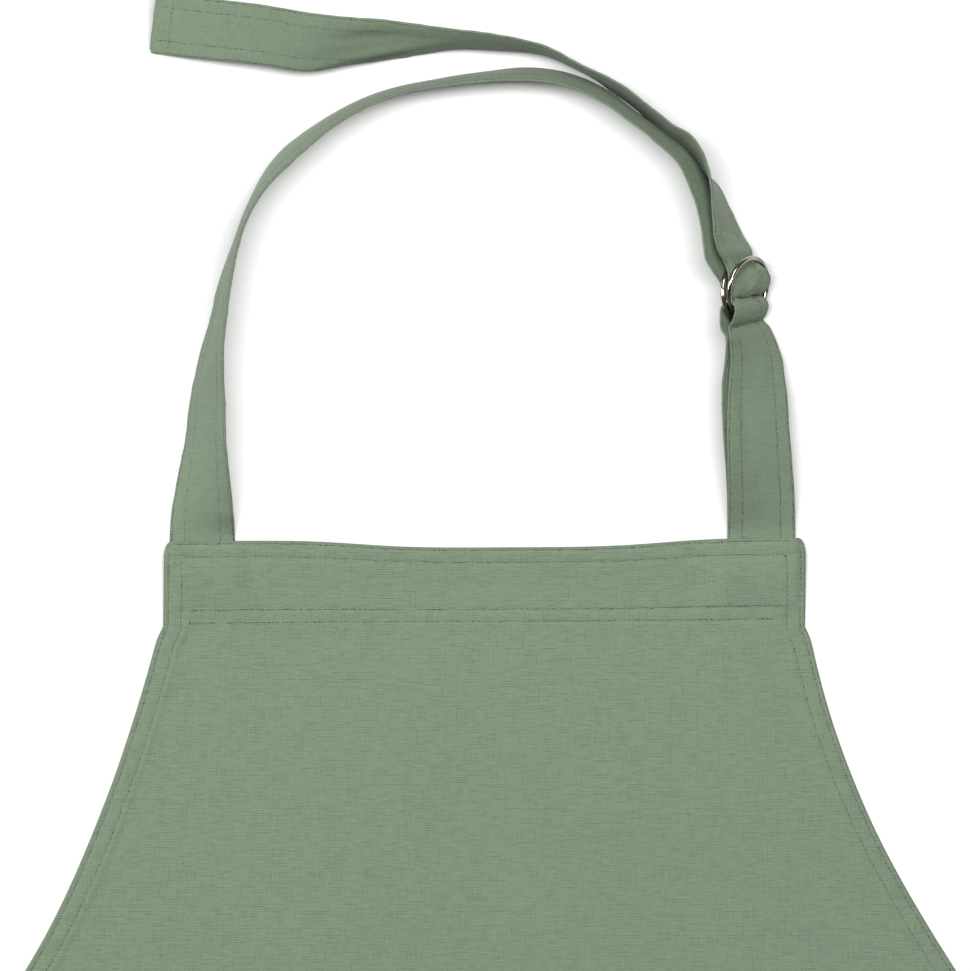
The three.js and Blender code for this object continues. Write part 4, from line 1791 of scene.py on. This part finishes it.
@dataclass(frozen=True)
class Studio:
    """Pale floor, soft boxes, pale surroundings and a camera that looks straight down.

    Attributes:
        view_middle: Middle of the photograph's view in the layout.
        lens: Focal length of the camera.
        sensor: Sensor width of the camera.
        far: How far the camera sees, in metres.
        aim: What the soft boxes face, in metres.
        floor_half: Half size of the floor in metres.
        floor_drop: How far the floor lies under the cloth in metres.
        floor_tones: Colours of the floor.
        floor_grain: Grains per metre of its tone.
        floor_shine: Roughness and mirror light of the floor.
        tent: Strength of the surroundings straight above, and how much more they have at the sides.
        tent_edge: Height of a direction where the dim part of the surroundings starts, and where it ends.
    """

    view_middle: Pair = (0.0, 27.4)
    lens: float = 900.0
    sensor: float = 36.0
    far: float = 50.0
    aim: Triple = (0.0, 0.3, 0.0)
    floor_half: float = 6.0
    floor_drop: float = 0.0002
    floor_tones: tuple[Colour, Colour] = (linear(250, 250, 249), linear(252, 252, 252))
    floor_grain: Triple = (3.0, 3.0, 3.0)
    floor_shine: Pair = (0.9, 0.1)
    tent: Pair = (0.08, 0.08)
    tent_edge: Pair = (0.97, 0.7)

    def camera(self, layout: Layout) -> None:
        """Put the camera over the middle of the view, as far away as its lens asks for that height of view.

        Args:
            layout: Where the layout stands in the frame.
        """
        data = bpy.data.cameras.new("camera")
        data.lens = self.lens
        data.sensor_width = self.sensor
        data.clip_end = self.far
        camera = bpy.data.objects.new("camera", data)
        height = PHOTO_HEIGHT_PIXELS * MM_PER_PIXEL * MM * self.lens / self.sensor
        camera.location = layout.place(np.array([*self.view_middle, 0.0])) + np.array([0.0, 0.0, height])
        bpy.context.scene.collection.objects.link(camera)
        bpy.context.scene.camera = camera

    def floor(self) -> Object:
        """Lay the pale floor.

        Returns:
            The floor.
        """
        signs = ((-1, -1), (1, -1), (1, 1), (-1, 1))
        corners = np.array([(a * self.floor_half, b * self.floor_half, -self.floor_drop) for a, b in signs])
        material, graph, shader = new_material("pale_floor")
        cloud = graph.noise(graph.add("TexCoord").outputs["Object"], self.floor_grain)["Fac"]
        roughness, specular = self.floor_shine
        looks = {
            "Base Color": graph.mix(cloud, *self.floor_tones),
            "Roughness": roughness,
            "Specular IOR Level": specular,
        }
        graph.feed(shader, looks)
        floor = show("floor", corners, [[0, 1, 2, 3]], [material])
        return floor

    def light(self, box: SoftBox, spared: bpy.types.Collection) -> None:
        """Hang a soft box that faces the middle of the view.

        Args:
            box: The soft box.
            spared: What a box that is kept off the floor doesn't light.
        """
        data = bpy.data.lights.new(box.name, "AREA")
        data.shape = "RECTANGLE"
        data.size, data.size_y = box.size
        data.energy = box.power
        light = bpy.data.objects.new(box.name, data)
        light.location = box.place
        x, y, z = np.array(self.aim) - np.array(box.place)
        light.rotation_euler = (math.atan2(math.hypot(x, y), -z), 0.0, math.atan2(y, x) - math.pi / 2)
        light.visible_camera = False
        if not box.on_floor:
            light.light_linking.receiver_collection = spared
        bpy.context.scene.collection.objects.link(light)

    def surroundings(self) -> None:
        """Wrap the set in a pale tent that is dimmer straight above, where the camera hangs."""
        world = bpy.data.worlds.new("studio")
        world.use_nodes = True
        graph = Graph(world.node_tree)
        above = graph.add("SeparateXYZ", {0: graph.add("TexCoord").outputs["Generated"]}).outputs["Z"]
        least, added = self.tent
        strength = graph.math("MULTIPLY_ADD", graph.spread(above, *self.tent_edge), added, least)
        background = world.node_tree.nodes["Background"]
        graph.feed(background, {"Color": (1.0, 1.0, 1.0, 1.0), "Strength": strength})
        bpy.context.scene.world = world

    def build(self, layout: Layout) -> None:
        """Set the camera, the floor, the lights and the surroundings.

        Args:
            layout: Where the layout stands in the frame.
        """
        self.camera(layout)
        spared = bpy.data.collections.new("spared_by_fills")
        spared.objects.link(self.floor())
        spared.collection_objects[0].light_linking.link_state = "EXCLUDE"
        for box in SOFT_BOXES:
            self.light(box, spared)
        self.surroundings()
        bpy.context.scene.view_settings.view_transform = "Standard"


def main() -> None:
    """Build the studio and the apron's pieces in order."""
    logging.basicConfig(level=logging.INFO, format="%(name)s: %(message)s")
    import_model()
    panel = ApronPanel()
    shop = Workshop(Layout.from_frame(panel.length), Finishes.build())
    Studio().build(shop.layout)
    for assembly in (panel, Harness(), WaistTies(panel)):
        for piece in assembly.build(shop):
            LOG.info("%s has %d faces", piece.name, len(piece.data.polygons))


if __name__ == "__main__":
    main()
